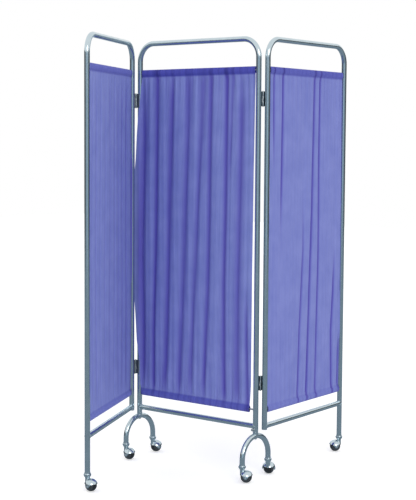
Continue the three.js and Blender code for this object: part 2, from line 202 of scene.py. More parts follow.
def patched(name, colours, patch_size, grain_size, grain_depth, patch_detail, grain_strength):
    """A finish whose two colours mix in patches, under a fine grain in relief"""
    finish, tree, shader = new_finish(name)
    where = add_node(tree, "ShaderNodeTexCoord").outputs["Object"]
    patches = add_node(tree, "ShaderNodeTexNoise", {"Scale": 1 / patch_size, "Detail": patch_detail},
                       {"Vector": where}).outputs["Fac"]
    grain = add_node(tree, "ShaderNodeTexNoise", {"Scale": 1 / grain_size, "Detail": 2.0}, {"Vector": where})
    tint = add_node(tree, "ShaderNodeMix",
                    {"data_type": "RGBA", 6: linear(colours[0]), 7: linear(colours[1])}, {0: patches})
    bump = add_node(tree, "ShaderNodeBump", {"Strength": grain_strength, "Distance": grain_depth},
                    {"Height": grain.outputs["Fac"]})
    tree.links.new(tint.outputs[2], shader.inputs["Base Color"])
    tree.links.new(bump.outputs["Normal"], shader.inputs["Normal"])
    return finish, tree, shader, patches


def plated(name, colours, smooth, dull, grain_depth):
    """A metal finish that is smooth in some patches and duller in others"""
    finish, tree, shader, patches = patched(name, colours, WIPED_PATCH, PLATE_GRAIN, grain_depth,
                                            patch_detail=5.0, grain_strength=0.25)
    roughness = add_node(tree, "ShaderNodeMapRange", {"To Min": smooth, "To Max": dull}, {"Value": patches})
    shader.inputs["Metallic"].default_value = 1.0
    tree.links.new(roughness.outputs["Result"], shader.inputs["Roughness"])
    return finish


chromium_plate = plated("chromium_plate_on_drawn_tube", ("#D0DEE4", "#B4C3CA"),
                        smooth=0.10, dull=0.24, grain_depth=0.02 * MM)
zinc_plate = plated("zinc_plate_on_steel_rod", ("#D6DBDE", "#ADB4B8"),
                    smooth=0.22, dull=0.38, grain_depth=0.03 * MM)
# rougher zinc for the hinge leaves, darker as painted shade for the gap between the posts
zinc_with_painted_gap_shade = plated("rougher_zinc_with_painted_gap_shade", ("#A2AAB0", "#7C8389"),
                     smooth=0.26, dull=0.42, grain_depth=0.03 * MM)
print("metals", chromium_plate.name, zinc_plate.name, zinc_with_painted_gap_shade.name)

# %% [markdown]
# ## Caster rubber and its hub
# The wheels are moulded black rubber on grey plastic halves. Rubber comes out of its mould
# with a slight bloom, and picks up dust where it rolls. Both are plastics to the shader, with
# no metal, and differ in roughness and in how fine their grain is.

# %% Rubber and plastic
DUST_PATCH = 9 * MM
MOULD_DEPTH = 0.03 * MM


def moulded(name, colours, roughness, grain_size):
    """A finish from a mould, with its dust in patches"""
    finish, _, shader, _ = patched(name, colours, DUST_PATCH, grain_size, MOULD_DEPTH,
                                   patch_detail=4.0, grain_strength=0.3)
    shader.inputs["Roughness"].default_value = roughness
    shader.inputs["IOR"].default_value = 1.5
    return finish


tyre_rubber = moulded("moulded_black_rubber", ("#14171B", "#24282D"), roughness=0.26, grain_size=0.8 * MM)
hub_plastic = moulded("moulded_grey_nylon", ("#2E3338", "#40464C"), roughness=0.3, grain_size=1.0 * MM)
print("caster finishes", tyre_rubber.name, hub_plastic.name)

# %% [markdown]
# ## Curtain cotton
# The curtains are plain-woven cotton dyed blue-violet. The threads are about 0.4 mm apart,
# too fine to show at this distance, so the weave is drawn 1.6 mm apart. Each thread takes the
# dye a little differently, which the eye sees as faint streaks up the cloth. A soft sheen at
# grazing angles comes from the loose fibres. Two marks on the mesh carry painted shade: one
# where a fold is deep and little light gets in, and one on the hems, where the cloth lies in
# two layers. A deep fold in a hem gets the darkest painted shade, so it has its own colour.

# %% Cotton
DRAWN_THREAD = 1.6 * MM
STREAK_WIDTH = 5 * MM
STREAK_LENGTH = 40 * STREAK_WIDTH
SHADE_WIDTH = 90 * MM
# a wave texture of scale 1 turns 20 radians in a metre, so this over a spacing is its scale
WAVE_TURNS = 2 * math.pi / 20


def cotton(name, colour, pale_colour, painted_fold_shade_colour, painted_hem_shade_colour, painted_hem_fold_shade_colour):
    finish, tree, shader = new_finish(name)
    cloth = add_node(tree, "ShaderNodeUVMap", {"uv_map": "cloth_metres"}).outputs["UV"]
    threads = [
        add_node(tree, "ShaderNodeTexWave",
                 {"bands_direction": direction, "Scale": WAVE_TURNS / DRAWN_THREAD, "Distortion": 0.6},
                 {"Vector": cloth})
        for direction in ("X", "Y")
    ]
    weave = add_node(tree, "ShaderNodeMath", {"operation": "MULTIPLY"},
                     {0: threads[0].outputs["Fac"], 1: threads[1].outputs["Fac"]})
    along = add_node(tree, "ShaderNodeMapping", {"Scale": (1 / STREAK_WIDTH, 1 / STREAK_LENGTH, 1)},
                     {"Vector": cloth})
    streaks = add_node(tree, "ShaderNodeTexNoise", {"Scale": 1.0, "Detail": 3.0},
                       {"Vector": along.outputs["Vector"]})
    shades = add_node(tree, "ShaderNodeTexNoise", {"Scale": 1 / SHADE_WIDTH, "Detail": 2.0},
                      {"Vector": cloth})
    uneven = add_node(tree, "ShaderNodeMath", {"operation": "ADD"},
                      {0: streaks.outputs["Fac"], 1: shades.outputs["Fac"]})
    share = add_node(tree, "ShaderNodeMapRange", {"From Min": 0.7, "From Max": 1.3},
                     {"Value": uneven.outputs["Value"]})
    dyed = add_node(tree, "ShaderNodeMix", {"data_type": "RGBA", 6: linear(colour), 7: linear(pale_colour)},
                    {0: share.outputs["Result"]})
    # painted shade on the hems, by the hem_shade mark
    hem = add_node(tree, "ShaderNodeAttribute", {"attribute_name": "hem_shade"})
    hemmed = add_node(tree, "ShaderNodeMix", {"data_type": "RGBA", 7: linear(painted_hem_shade_colour)},
                      {0: hem.outputs["Fac"], 6: dyed.outputs[2]})
    # painted shade in the folds, by the fold_shade mark, in its own darker colour on the hems
    fold = add_node(tree, "ShaderNodeAttribute", {"attribute_name": "fold_shade"})
    deep = add_node(tree, "ShaderNodeMix",
                    {"data_type": "RGBA", 6: linear(painted_fold_shade_colour), 7: linear(painted_hem_fold_shade_colour)},
                    {0: hem.outputs["Fac"]})
    folded = add_node(tree, "ShaderNodeMix", {"data_type": "RGBA"},
                      {0: fold.outputs["Fac"], 6: hemmed.outputs[2], 7: deep.outputs[2]})
    bump = add_node(tree, "ShaderNodeBump", {"Strength": 0.5, "Distance": 0.25 * MM},
                    {"Height": weave.outputs["Value"]})
    slack = add_node(tree, "ShaderNodeBump", {"Strength": 0.35, "Distance": 0.6 * MM},
                     {"Height": streaks.outputs["Fac"], "Normal": bump.outputs["Normal"]})
    shader.inputs["Roughness"].default_value = 0.85
    shader.inputs["Specular IOR Level"].default_value = 0.2
    shader.inputs["Sheen Weight"].default_value = 0.25
    shader.inputs["Sheen Roughness"].default_value = 0.5
    shader.inputs["Sheen Tint"].default_value = linear("#B9BCEB")
    tree.links.new(folded.outputs[2], shader.inputs["Base Color"])
    tree.links.new(slack.outputs["Normal"], shader.inputs["Normal"])
    return finish


# the last three colours are painted shade: in folds, on hems, and in folds on hems
curtain_cotton = cotton("dyed_cotton_with_painted_shade", colour="#7985CC", pale_colour="#8A95D8",
                        painted_fold_shade_colour="#564FB0", painted_hem_shade_colour="#4E51B8", painted_hem_fold_shade_colour="#35368E")
print("cotton threads drawn", DRAWN_THREAD / MM, "mm apart")

# %% [markdown]
# ## From points to a piece
# Every piece is made as rings or rows of points, because a ring is how a tube is bent and how
# a part comes off a lathe. These helpers join rows with faces, turn several shells into one
# mesh, smooth its round faces while its real edges stay sharp, and tie the piece to the body
# of the model that it moves with.

# %% Rows and faces
SIDES, SMALL_SIDES = 32, 24
ROUND_STEPS, MOST_OF_AN_EDGE = 3, 0.45


def around(sides=SIDES):
    """The angles of a ring's points"""
    return np.arange(sides) * 2 * math.pi / sides


def ring(radius, height, sides=SIDES):
    return [(radius * math.cos(angle), radius * math.sin(angle), height) for angle in around(sides)]


def stack(rings):
    """The points of all the rings, and each ring's own point numbers"""
    points, rows = [], []
    for one_ring in rings:
        rows.append(list(range(len(points), len(points) + len(one_ring))))
        points.extend(one_ring)
    return np.array(points, float), rows


def band(low, high, closed=True):
    """Faces between two rows of point numbers"""
    last = len(low) if closed else len(low) - 1
    faces = []
    for i in range(last):
        k = (i + 1) % len(low)
        corners = list(dict.fromkeys([low[i], low[k], high[k], high[i]]))
        if len(corners) > 2:
            faces.append(corners)
    return faces


def skin(rows, flipped=False, closed=True):
    """Faces from each row to the next, or with their fronts on the other side"""
    pairs = zip(rows[1:], rows) if flipped else zip(rows, rows[1:])
    return [face for low, high in pairs for face in band(low, high, closed)]


def in_mm(pairs, foot=0.0):
    """An outline written in millimetres above a foot, in metres"""
    return [(radius * MM, foot + height * MM) for radius, height in pairs]


def mirrored(upper):
    """A whole outline from its upper half"""
    return [(radius, -height) for radius, height in reversed(upper)] + upper


def eased(profile, radius):
    """The same outline with its corners rounded over, as a real edge is"""
    made = [tuple(profile[0])]
    for before, corner, after in zip(profile, profile[1:], profile[2:]):
        before, corner, after = (np.array(point, float) for point in (before, corner, after))
        back, on = before - corner, after - corner
        start = corner + back * min(radius / np.linalg.norm(back), MOST_OF_AN_EDGE)
        end = corner + on * min(radius / np.linalg.norm(on), MOST_OF_AN_EDGE)
        for share in np.linspace(0, 1, ROUND_STEPS + 1):
            point = (1 - share) ** 2 * start + 2 * share * (1 - share) * corner + share ** 2 * end
            made.append(tuple(point))
    made.append(tuple(profile[-1]))
    return made


print("a turned ring has", SIDES, "sides")

# %% Turned, swept and welded shells
WELD_RIPPLE, WELD_STEP = 0.16, 2.2 * MM
WELD_SIDES = 8
ANY_DIRECTION = (0.31, 0.52, 0.79)


def turned(profile, sides=SIDES):
    """A lathe shape about z, from (radius, height) pairs that go up its outside"""
    rings = [ring(radius, height, sides) if radius > 0 else [(0, 0, height)] for radius, height in profile]
    points, rows = stack(rings)
    # a point on the axis stands for a whole ring
    rows = [row * (sides // len(row)) for row in rows]
    if profile[0][0] > 0:
        rows.append(rows[0])
    return points, skin(rows)


def swept(path, radii, sides=SIDES, closed=False):
    """A tube skin along a path, as points and rows of point numbers"""
    path = np.array(path, float)
    steps = np.diff(np.vstack([path, path[:1]]) if closed else path, axis=0)
    steps /= np.linalg.norm(steps, axis=1)[:, None]
    before = np.vstack([steps[-1:] if closed else steps[:1], steps[:len(path) - 1]])
    after = steps[:len(path)] if closed else np.vstack([steps, steps[-1:]])
    along = before + after
    along /= np.linalg.norm(along, axis=1)[:, None]
    across = np.cross(along[0], ANY_DIRECTION)
    rings = []
    for place, axis, radius in zip(path, along, np.broadcast_to(radii, len(path))):
        across = across - axis * across.dot(axis)
        across /= np.linalg.norm(across)
        other = np.cross(axis, across)
        rings.append([place + radius * (math.cos(a) * across + math.sin(a) * other) for a in around(sides)])
    return stack(rings)


def tube(path, radius, bore):
    """A tube with a wall: an outer skin, an inner skin and two ring ends"""
    outer, rows = swept(path, radius)
    inner, _ = swept(path, bore)
    inside = [[number + len(outer) for number in row] for row in rows]
    ends = band(inside[0], rows[0]) + band(rows[-1], inside[-1])
    return np.vstack([outer, inner]), skin(rows) + skin(inside, flipped=True) + ends


def bead(path, radius, closed=True):
    """A weld: a thin bead along a joint, with the ripples that its steps leave"""
    path = np.array(path, float)
    gone = np.concatenate([[0], np.cumsum(np.linalg.norm(np.diff(path, axis=0), axis=1))])
    radii = radius * (1 + WELD_RIPPLE * np.sin(2 * math.pi * gone / WELD_STEP))
    points, rows = swept(path, radii, WELD_SIDES, closed)
    ends = band(rows[-1], rows[0]) if closed else [rows[0][::-1], rows[-1]]
    return points, skin(rows) + ends


def moved(shell, matrix):
    """The same shell in another place"""
    points, faces = shell
    matrix = np.array(matrix)
    return points @ matrix[:3, :3].T + matrix[:3, 3], faces


def together(shells):
    """Several shells as one"""
    points, faces, start = [], [], 0
    for shell_points, shell_faces in shells:
        points.append(shell_points)
        faces += [[number + start for number in face] for face in shell_faces]
        start += len(shell_points)
    return np.vstack(points), faces


print("a weld's ripples are", WELD_STEP / MM, "mm apart")

# %% From a shell to a piece of the screen
SHARP_EDGE = math.radians(38)


def new_object(name, points, faces, finishes):
    """A mesh of these points and faces, in its finishes, in the scene"""
    mesh = bpy.data.meshes.new(name)
    mesh.from_pydata([tuple(point) for point in points], [], faces)
    for finish in finishes:
        mesh.materials.append(finish)
    made = bpy.data.objects.new(name, mesh)
    bpy.context.scene.collection.objects.link(made)
    return made


def make_piece(name, shell, finishes, body, solid, sharp=SHARP_EDGE):
    """One finished piece that rides on a body and stands for a solid of the measured model"""
    piece = new_object(name, *shell, finishes)
    mesh = piece.data
    mesh.polygons.foreach_set("use_smooth", [True] * len(mesh.polygons))
    mesh.set_sharp_from_angle(angle=sharp)
    mesh.update()
    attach(piece, body)
    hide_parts(solid)
    return piece


def shift(x=0.0, y=0.0, z=0.0):
    return Matrix.Translation((x, y, z))


UPRIGHT_TO_X = Matrix.Rotation(math.pi / 2, 4, "Y")
UPRIGHT_TO_Y = Matrix.Rotation(-math.pi / 2, 4, "X")
print("edges over", round(math.degrees(SHARP_EDGE)), "degrees stay sharp")

# %% [markdown]
# ## Frame tubes
# Each frame is one tube, 22 mm across, bent to an upside-down U round a 75 mm former. The
# middle frame's posts end just above its feet. A side frame has one long post for a caster
# and a short one by the hinge. A swept ring follows the bend as a tube bender does, and the
# open ends show the wall.

# %% Bent frame tubes
BEND_STEPS = 20
CENTRE_POST_END = 192.7 * MM
INNER_POST_END = 202 * MM


def bent(corners, radius):
    """A path through corners, with each inner corner rounded to the bend's radius"""
    made = [Vector(corners[0])]
    for before, corner, after in zip(corners, corners[1:], corners[2:]):
        before, corner, after = Vector(before), Vector(corner), Vector(after)
        back = (before - corner).normalized()
        on = (after - corner).normalized()
        middle = corner + (back + on) * radius
        for step in range(BEND_STEPS + 1):
            angle = math.pi / 2 * step / BEND_STEPS
            made.append(middle - on * radius * math.cos(angle) - back * radius * math.sin(angle))
    made.append(Vector(corners[-1]))
    return made


def frame_tube(width, left_end, right_end):
    half = width / 2
    corners = [(-half, 0, left_end), (-half, 0, TUBE_TOP), (half, 0, TUBE_TOP), (half, 0, right_end)]
    return tube(bent(corners, CORNER_RADIUS), TUBE_RADIUS, TUBE_BORE)


frames = {
    "centre": (CENTRE_WIDTH, CENTRE_POST_END, CENTRE_POST_END),
    "left": (SIDE_WIDTH, CASTER_TOP, INNER_POST_END),
    "right": (SIDE_WIDTH, CASTER_TOP, INNER_POST_END),
}
for name, sizes in frames.items():
    shell = moved(frame_tube(*sizes), places[name])
    piece = make_piece(f"{name}_bent_tube", shell, [chromium_plate], f"{name}_frame",
                       f"{name}_frame_tube")
    print(piece.name, len(piece.data.polygons), "faces")

# %% [markdown]
# ## Bottom rails and their welds
# The bottom rail is the same tube, cut at each end to a saddle that fits the post, and welded
# all round. The saddle's edge is the curve on which the two tubes meet. The same curve carries
# the weld bead, which is what catches the light at this corner.

# %% Saddle-cut rails
WELD_RADIUS = 1.5 * MM
WELD_LIFT, WELD_BACK = 0.2 * MM, 0.3 * MM


def saddle(sign, half, radius, gap=0.0):
    """The edge where a rail of the tube's size meets a post: points round the rail"""
    aside = radius * np.sin(around())
    reach = half - np.sqrt(np.maximum(TUBE_RADIUS ** 2 - aside ** 2, 0)) - gap
    return np.stack([sign * reach, aside, RAIL_HEIGHT + radius * np.cos(around())], 1)


def saddle_rail(width):
    half = width / 2
    edges = [saddle(sign, half, radius) for radius in (TUBE_RADIUS, TUBE_BORE) for sign in (-1, 1)]
    points, (outer_low, outer_high, inner_low, inner_high) = stack(edges)
    faces = band(outer_high, outer_low) + band(inner_low, inner_high)
    faces += band(outer_low, inner_low) + band(inner_high, outer_high)
    welds = [bead(saddle(sign, half, TUBE_RADIUS + WELD_LIFT, WELD_BACK), WELD_RADIUS) for sign in (-1, 1)]
    return together([(points, faces), *welds])


for name, (width, *_) in frames.items():
    shell = moved(saddle_rail(width), places[name])
    piece = make_piece(f"{name}_welded_rail", shell, [chromium_plate], f"{name}_frame",
                       f"{name}_bottom_rail")
    print(piece.name, "is", round(width / MM), "mm between post axes")

# %% [markdown]
# ## Curtain rods
# Two thin rods carry each curtain. Their ends sit in holes in the posts, so only a short
# length shows beside the cloth. A turned bar with eased ends is enough.

# %% Thin rods
ROD_RADIUS = 3.5 * MM
ROD_HEIGHTS = {"top": 1664 * MM, "bottom": 284.6 * MM}
ROD_SEAT = 4 * MM
ROD_SIDES, ROD_EDGE = 20, 0.8 * MM

for name, (width, *_) in frames.items():
    half = width / 2 - TUBE_RADIUS + ROD_SEAT
    outline = eased(mirrored([(ROD_RADIUS, half), (0, half)]), ROD_EDGE)
    for level_name, height in ROD_HEIGHTS.items():
        shell = moved(turned(outline, ROD_SIDES), places[name] @ shift(z=height) @ UPRIGHT_TO_X)
        make_piece(f"{name}_{level_name}_curtain_rod", shell, [zinc_plate], f"{name}_frame",
                   f"{name}_{level_name}_rod")
    print(name, "rods", round(2 * half / MM), "mm long")

# %% [markdown]
# ## Hinges
# Each hinge is two pressed leaves that meet on a pin. The knuckles stand proud of the posts,
# so that the frames can close flat on each other. A leaf is a flat strip with a root for each
# of its knuckles, and both are outlines drawn up from one height to another. The knuckles are
# turned rings with eased edges. They and the weld at the strip's far edge are bright, and the
# strip is rougher and darker, with painted shade for the gap between the posts, so a leaf has
# two finishes.

# %% Hinge leaves
HINGE_LENGTH = 60 * MM
MIDDLE_KNUCKLE = 20 * MM
LEAF_LAP = 5 * MM
LEAF_THICKNESS = 1.4 * MM
LEAF_GAP = 0.2 * MM
ROOT_THICKNESS = 1.2 * MM
BARREL_RADIUS, BARREL_EDGE = 3.3 * MM, 0.25 * MM
PIN_RADIUS = 1.8 * MM
RUN = 0.3 * MM
LEAF_WELD, LEAF_WELD_DEPTH = 1.1 * MM, 0.2 * MM
LEAF_WELD_SHARE, LEAF_WELD_POINTS = 0.42, 40


def extruded(outline, low, high):
    """A flat outline drawn up from one height to another"""
    count = len(outline)
    points = [(x, y, z) for z in (low, high) for x, y in outline]
    first, second = list(range(count)), list(range(count, 2 * count))
    return np.array(points), band(first, second) + [first[::-1], second]


def knuckle_ring(low, high):
    bore = PIN_RADIUS + RUN
    outline = [(BARREL_RADIUS, low), (BARREL_RADIUS, high), (bore, high), (bore, low)]
    return turned([*eased([*outline, outline[0]], BARREL_EDGE)[1:-1], outline[-1]], SMALL_SIDES)


def hinge_leaf(side, knuckles):
    """A leaf behind its pin, which is the z axis, and each face's finish: 0 for the strip with painted gap
    shade, 1 bright
    """
    far = side * (HINGE_STEP + LEAF_LAP)
    near = side * (BARREL_RADIUS + RUN)
    inner, outer = LEAF_GAP, LEAF_GAP + LEAF_THICKNESS
    strip = [(near, inner), (far, inner), (far, outer), (near, outer)]
    root = [(0, inner + ROOT_THICKNESS), (near, inner), (near, outer), (0, BARREL_RADIUS)]
    plates = [extruded(strip[::side], -HINGE_LENGTH / 2, HINGE_LENGTH / 2)]
    plates += [extruded(root[::side], low, high) for low, high in knuckles]
    weld_heights = np.linspace(-LEAF_WELD_SHARE, LEAF_WELD_SHARE, LEAF_WELD_POINTS) * HINGE_LENGTH
    weld = bead([(far, outer - LEAF_WELD_DEPTH, z) for z in weld_heights], LEAF_WELD, closed=False)
    bright = [knuckle_ring(low, high) for low, high in knuckles] + [weld]
    gap_shaded_faces = sum(len(faces) for _, faces in plates)
    bright_faces = sum(len(faces) for _, faces in bright)
    return together([*plates, *bright]), [0] * gap_shaded_faces + [1] * bright_faces


half_hinge, half_middle = HINGE_LENGTH / 2, MIDDLE_KNUCKLE / 2
centre_knuckles = [(-half_hinge, -half_middle - RUN), (half_middle + RUN, half_hinge)]
side_knuckles = [(-half_middle, half_middle)]
print("knuckles", len(centre_knuckles), "and", len(side_knuckles), "on each pin")

# %% Hinge pins, and all the hinges in place
PIN_HEAD_RADIUS, PIN_EDGE = 2.8 * MM, 0.5 * MM
PIN_HEAD_SIDE, PIN_HEAD_TOP = 1.4 * MM, 1.8 * MM
pin_end = half_hinge + RUN
pin_outline = eased(mirrored([
    (PIN_RADIUS, pin_end),
    (PIN_HEAD_RADIUS, pin_end),
    (PIN_HEAD_RADIUS, pin_end + PIN_HEAD_SIDE),
    (0, pin_end + PIN_HEAD_TOP),
]), PIN_EDGE)

for name in X_SIDE:
    pin_place = Vector(joints[f"{name}_fold"]["pos_m"])
    for level_name, height in HINGE_HEIGHTS.items():
        on_pin = shift(pin_place.x, pin_place.y, height)
        stand = on_pin @ turned_frame(OWN_TURN[name])
        swung = on_pin @ turned_frame(FOLDED_DEGREES[name] + OWN_TURN[name])
        hinge = f"{name}_{level_name}_hinge"
        leaves = (("fixed_plate", "centre_leaf", "centre_frame", hinge_leaf(1, centre_knuckles), stand),
                  ("swung_plate", "side_leaf", f"{name}_frame", hinge_leaf(-1, side_knuckles), swung))
        for plate_name, node, body, (shell, face_finishes), place in leaves:
            # the strip takes the zinc with painted gap shade, and the knuckles and weld the bright zinc
            plate = make_piece(f"{hinge}_{plate_name}", moved(shell, place), [zinc_with_painted_gap_shade, zinc_plate],
                               body, f"{hinge}_{node}")
            plate.data.polygons.foreach_set("material_index", face_finishes)
        pin = moved(turned(pin_outline, SMALL_SIDES), stand)
        make_piece(f"{hinge}_riveted_pin", pin, [zinc_plate], "centre_frame", f"{hinge}_pin")
    print(name, "hinges at", [round(height / MM) for height in HINGE_HEIGHTS.values()], "mm")

# %% [markdown]
# ## Arched feet
# A foot is one short tube bent to a half round, with a caster in each end. A turned plug with
# a saddle collar stands on its top and goes up into the post. A domed bolt comes through from
# below, and a screw with a small knob locks the plug from the side.

# %% Arch and collar
FOOT_SPAN = 176 * MM
ARCH_TOP = 177.1 * MM
SEAT_GAP = 0.3 * MM
PLUG_RADIUS = TUBE_BORE - 0.4 * MM
PLUG_TOP = CENTRE_POST_END + 50 * MM
PLUG_EDGE = 0.5 * MM
SADDLE_RINGS, SADDLE_LIFT = (0.45, 0.8, 1.0), 0.05 * MM


def foot_arch():
    half = FOOT_SPAN / 2
    corners = [(0, -half, CASTER_TOP), (0, -half, ARCH_TOP), (0, half, ARCH_TOP), (0, half, CASTER_TOP)]
    return tube(bent(corners, half), TUBE_RADIUS, TUBE_BORE)


def saddle_plug():
    """The collar's lower edge follows the arch's back, and the plug stands on it"""
    collar_top = CENTRE_POST_END - SEAT_GAP
    rings = []
    for share in SADDLE_RINGS:
        x, y = share * TUBE_RADIUS * np.cos(around()), share * TUBE_RADIUS * np.sin(around())
        fall = FOOT_SPAN / 2 - np.sqrt((FOOT_SPAN / 2) ** 2 - y ** 2)
        z = ARCH_TOP - fall + np.sqrt(np.maximum(TUBE_RADIUS ** 2 - x ** 2, 0)) + SADDLE_LIFT
        rings.append(np.stack([x, y, z], 1))
    rise = eased([(TUBE_RADIUS, ARCH_TOP), (TUBE_RADIUS, collar_top), (PLUG_RADIUS, collar_top),
                  (PLUG_RADIUS, PLUG_TOP), (0, PLUG_TOP)], PLUG_EDGE)[1:-1]
    points, rows = stack(rings + [ring(radius, height) for radius, height in rise])
    return points, skin(rows) + [rows[0][::-1], rows[-1]]


print("the plug reaches", round((PLUG_TOP - CENTRE_POST_END) / MM), "mm into the post")

# %% Bolt, screw and the two feet in place
# outlines are pairs of a radius and a height, in millimetres
BOLT_DOME = [(0, -4), (2.6, -3.7), (4.9, -2.6), (6.2, -1.2), (6.5, 0), (4, 0)]
BOLT_END = [(4, 17), (0, 18)]
BOLT_SEAT = ARCH_TOP - TUBE_RADIUS - 0.7 * MM
SCREW_HEIGHT = 204.1 * MM
SHANK_RADIUS, SHANK_SIDES, SHANK_OVERLAP = 3 * MM, 20, 1 * MM
NUT_RADIUS, NUT_SIDES, NUT_THICKNESS = 4.8 * MM, 6, 4 * MM
SCREW_EDGE, KNOB_EDGE = 0.4 * MM, 0.7 * MM
KNOB_GAP = 4 * MM
KNOB_OUTLINE = [(0, 0), (5, 0), (5.5, 1), (5.5, 5), (4.4, 6), (0, 6)]


def lock_screw():
    """A shank, a nut and a knob, going up from the plug that the screw presses on"""
    tip, nut = PLUG_RADIUS + SEAT_GAP, TUBE_RADIUS + SEAT_GAP
    nut_end = nut + NUT_THICKNESS
    knob = nut_end + KNOB_GAP
    shank_end = knob + SHANK_OVERLAP
    shank = [(0, tip), (SHANK_RADIUS, tip), (SHANK_RADIUS, shank_end), (0, shank_end)]
    hexagon = [(SHANK_RADIUS, nut), (NUT_RADIUS, nut), (NUT_RADIUS, nut_end), (SHANK_RADIUS, nut_end)]
    return together([
        turned(eased(shank, SCREW_EDGE), SHANK_SIDES),
        turned(eased(hexagon, SCREW_EDGE), NUT_SIDES),
        turned(eased(in_mm(KNOB_OUTLINE, knob), KNOB_EDGE), SMALL_SIDES),
    ])


bolt = turned(in_mm(BOLT_DOME, BOLT_SEAT) + in_mm(BOLT_END, ARCH_TOP + TUBE_RADIUS), SMALL_SIDES)
for name, side in X_SIDE.items():
    stand = places["centre"] @ shift(x=side * CENTRE_WIDTH / 2)
    screw_place = stand @ (shift(z=SCREW_HEIGHT) @ Matrix.Rotation(side * math.pi / 2, 4, "X"))
    foot_pieces = (
        ("bent_foot", foot_arch(), stand, chromium_plate, "chromed_tube", "foot_arch"),
        ("saddle_plug", saddle_plug(), stand, chromium_plate, "plain_steel", "foot_spigot"),
        ("domed_bolt", bolt, stand, zinc_plate, "plain_steel", "foot_bolt"),
        ("knob_screw", lock_screw(), screw_place, zinc_plate, "plain_steel", "foot_lock_screw"),
    )
    for piece_name, shell, place, finish, slot, node in foot_pieces:
        make_piece(f"{name}_{piece_name}", moved(shell, place), [finish], "centre_frame",
                   f"{name}_{node}")
    print(name, "foot arch spans", round(FOOT_SPAN / MM), "mm")

# %% [markdown]
# ## Hooded ball casters
# A ball caster is a wheel nearly as wide as it is tall, under a pressed half hood. The hood
# comes down to a point on each side, where the axle's domed end shows, and its neck flares to
# a collar under the tube. The wheel stands behind its stem, which is what makes it swivel.
# The hood is drawn as rings from the crown out to a rim that dips at the axle. The neck's foot
# is set on the hood's own surface, as a pressing flows into it.

# %% The pressed hood
HOOD_INNER, HOOD_OUTER = 26 * MM, 27.4 * MM
TRAIL = 17 * MM
HUB_HEIGHT = 23.398 * MM
RIM_RISE, LUG_DROP, LUG_HALF = 8 * MM, 6.5 * MM, 7.5 * MM
DIP_HALF, DIP_CURVE, LUG_FLAT_SHARE = 15 * MM, 1.15, 0.55
HOOD_SIDES, HOOD_STEPS = 64, 14
# the crown starts as a tiny ring, this many radians out from its pole
CROWN_ANGLE = 0.004


def rim_height(angle, radius):
    """How high the hood's rim is above the hub: level, with a dip to a lug at each axle end"""
    aside = abs(radius * math.cos(angle))
    dip = min(max((DIP_HALF - aside) / (DIP_HALF - LUG_FLAT_SHARE * LUG_HALF), 0), 1)
    return RIM_RISE - (RIM_RISE + LUG_DROP) * dip ** DIP_CURVE


def hood_ring(radius, step):
    """A ring of the hood, from step 0 at its crown to the last one at its rim"""
    points = []
    for angle in around(HOOD_SIDES):
        rim = math.acos(rim_height(angle, radius) / radius)
        polar = max(rim * step / HOOD_STEPS, CROWN_ANGLE)
        flat = radius * math.sin(polar)
        points.append((TRAIL + flat * math.cos(angle), flat * math.sin(angle),
                       HUB_HEIGHT + radius * math.cos(polar)))
    return points


def hood_shell():
    steps = range(HOOD_STEPS + 1)
    points, rows = stack([hood_ring(HOOD_OUTER, step) for step in reversed(steps)]
                         + [hood_ring(HOOD_INNER, step) for step in steps])
    outer, inner = rows[:len(steps)], rows[len(steps):]
    return points, skin(outer) + skin(inner) + [outer[-1], inner[0][::-1]] + band(inner[-1], outer[0])


print("the hood is", round((HOOD_OUTER - HOOD_INNER) / MM, 1), "mm thick")

# %% The hood's neck
# outlines are pairs of a radius and a height, in millimetres
NECK_BORE, NECK_TOP, NECK_EDGE = 4.4 * MM, 69.9 * MM, 0.8 * MM
NECK_OUTLINE = [(12, 69.9), (14.6, 68.2), (15.2, 66.2), (15.2, 61.2), (14.5, 59.6), (12.2, 56.4),
                (10.3, 53.2), (9.3, 50.2)]
# where the neck meets the hood, the heights are above the hood's own surface
NECK_FOOT = [(9.2, 1.2), (9.9, -0.1), (9.0, -0.8)]
NECK_FOOT_TOP, LEAST_CROWN = 50 * MM, 6 * MM


def neck_foot_ring(radius, sink):
    points = []
    for x, y, _ in ring(radius, 0):
        aside = math.hypot(x - TRAIL, y)
        crown = math.sqrt(max(HOOD_OUTER ** 2 - aside ** 2, LEAST_CROWN ** 2))
        points.append((x, y, min(HUB_HEIGHT + crown + sink, NECK_FOOT_TOP)))
    return points


def hood_neck():
    outline = [(NECK_BORE, NECK_TOP), *eased(in_mm(NECK_OUTLINE), NECK_EDGE)]
    rings = [ring(radius, height) for radius, height in outline]
    rings += [neck_foot_ring(radius, sink) for radius, sink in in_mm(NECK_FOOT)]
    points, rows = stack(rings)
    return points, skin(rows, flipped=True) + [rows[0]]


hood = together([hood_shell(), hood_neck()])
print("hood and neck have", len(hood[1]), "faces")

# %% Wheel, axle and stem
BALL_RADIUS, GROOVE, GROOVE_DEPTH, GROOVE_EDGE = 23.4 * MM, 13.4 * MM, 1.2 * MM, 0.2 * MM
TREAD_BORE, TREAD_STEPS, WHEEL_SIDES = 6 * MM, 23, 48
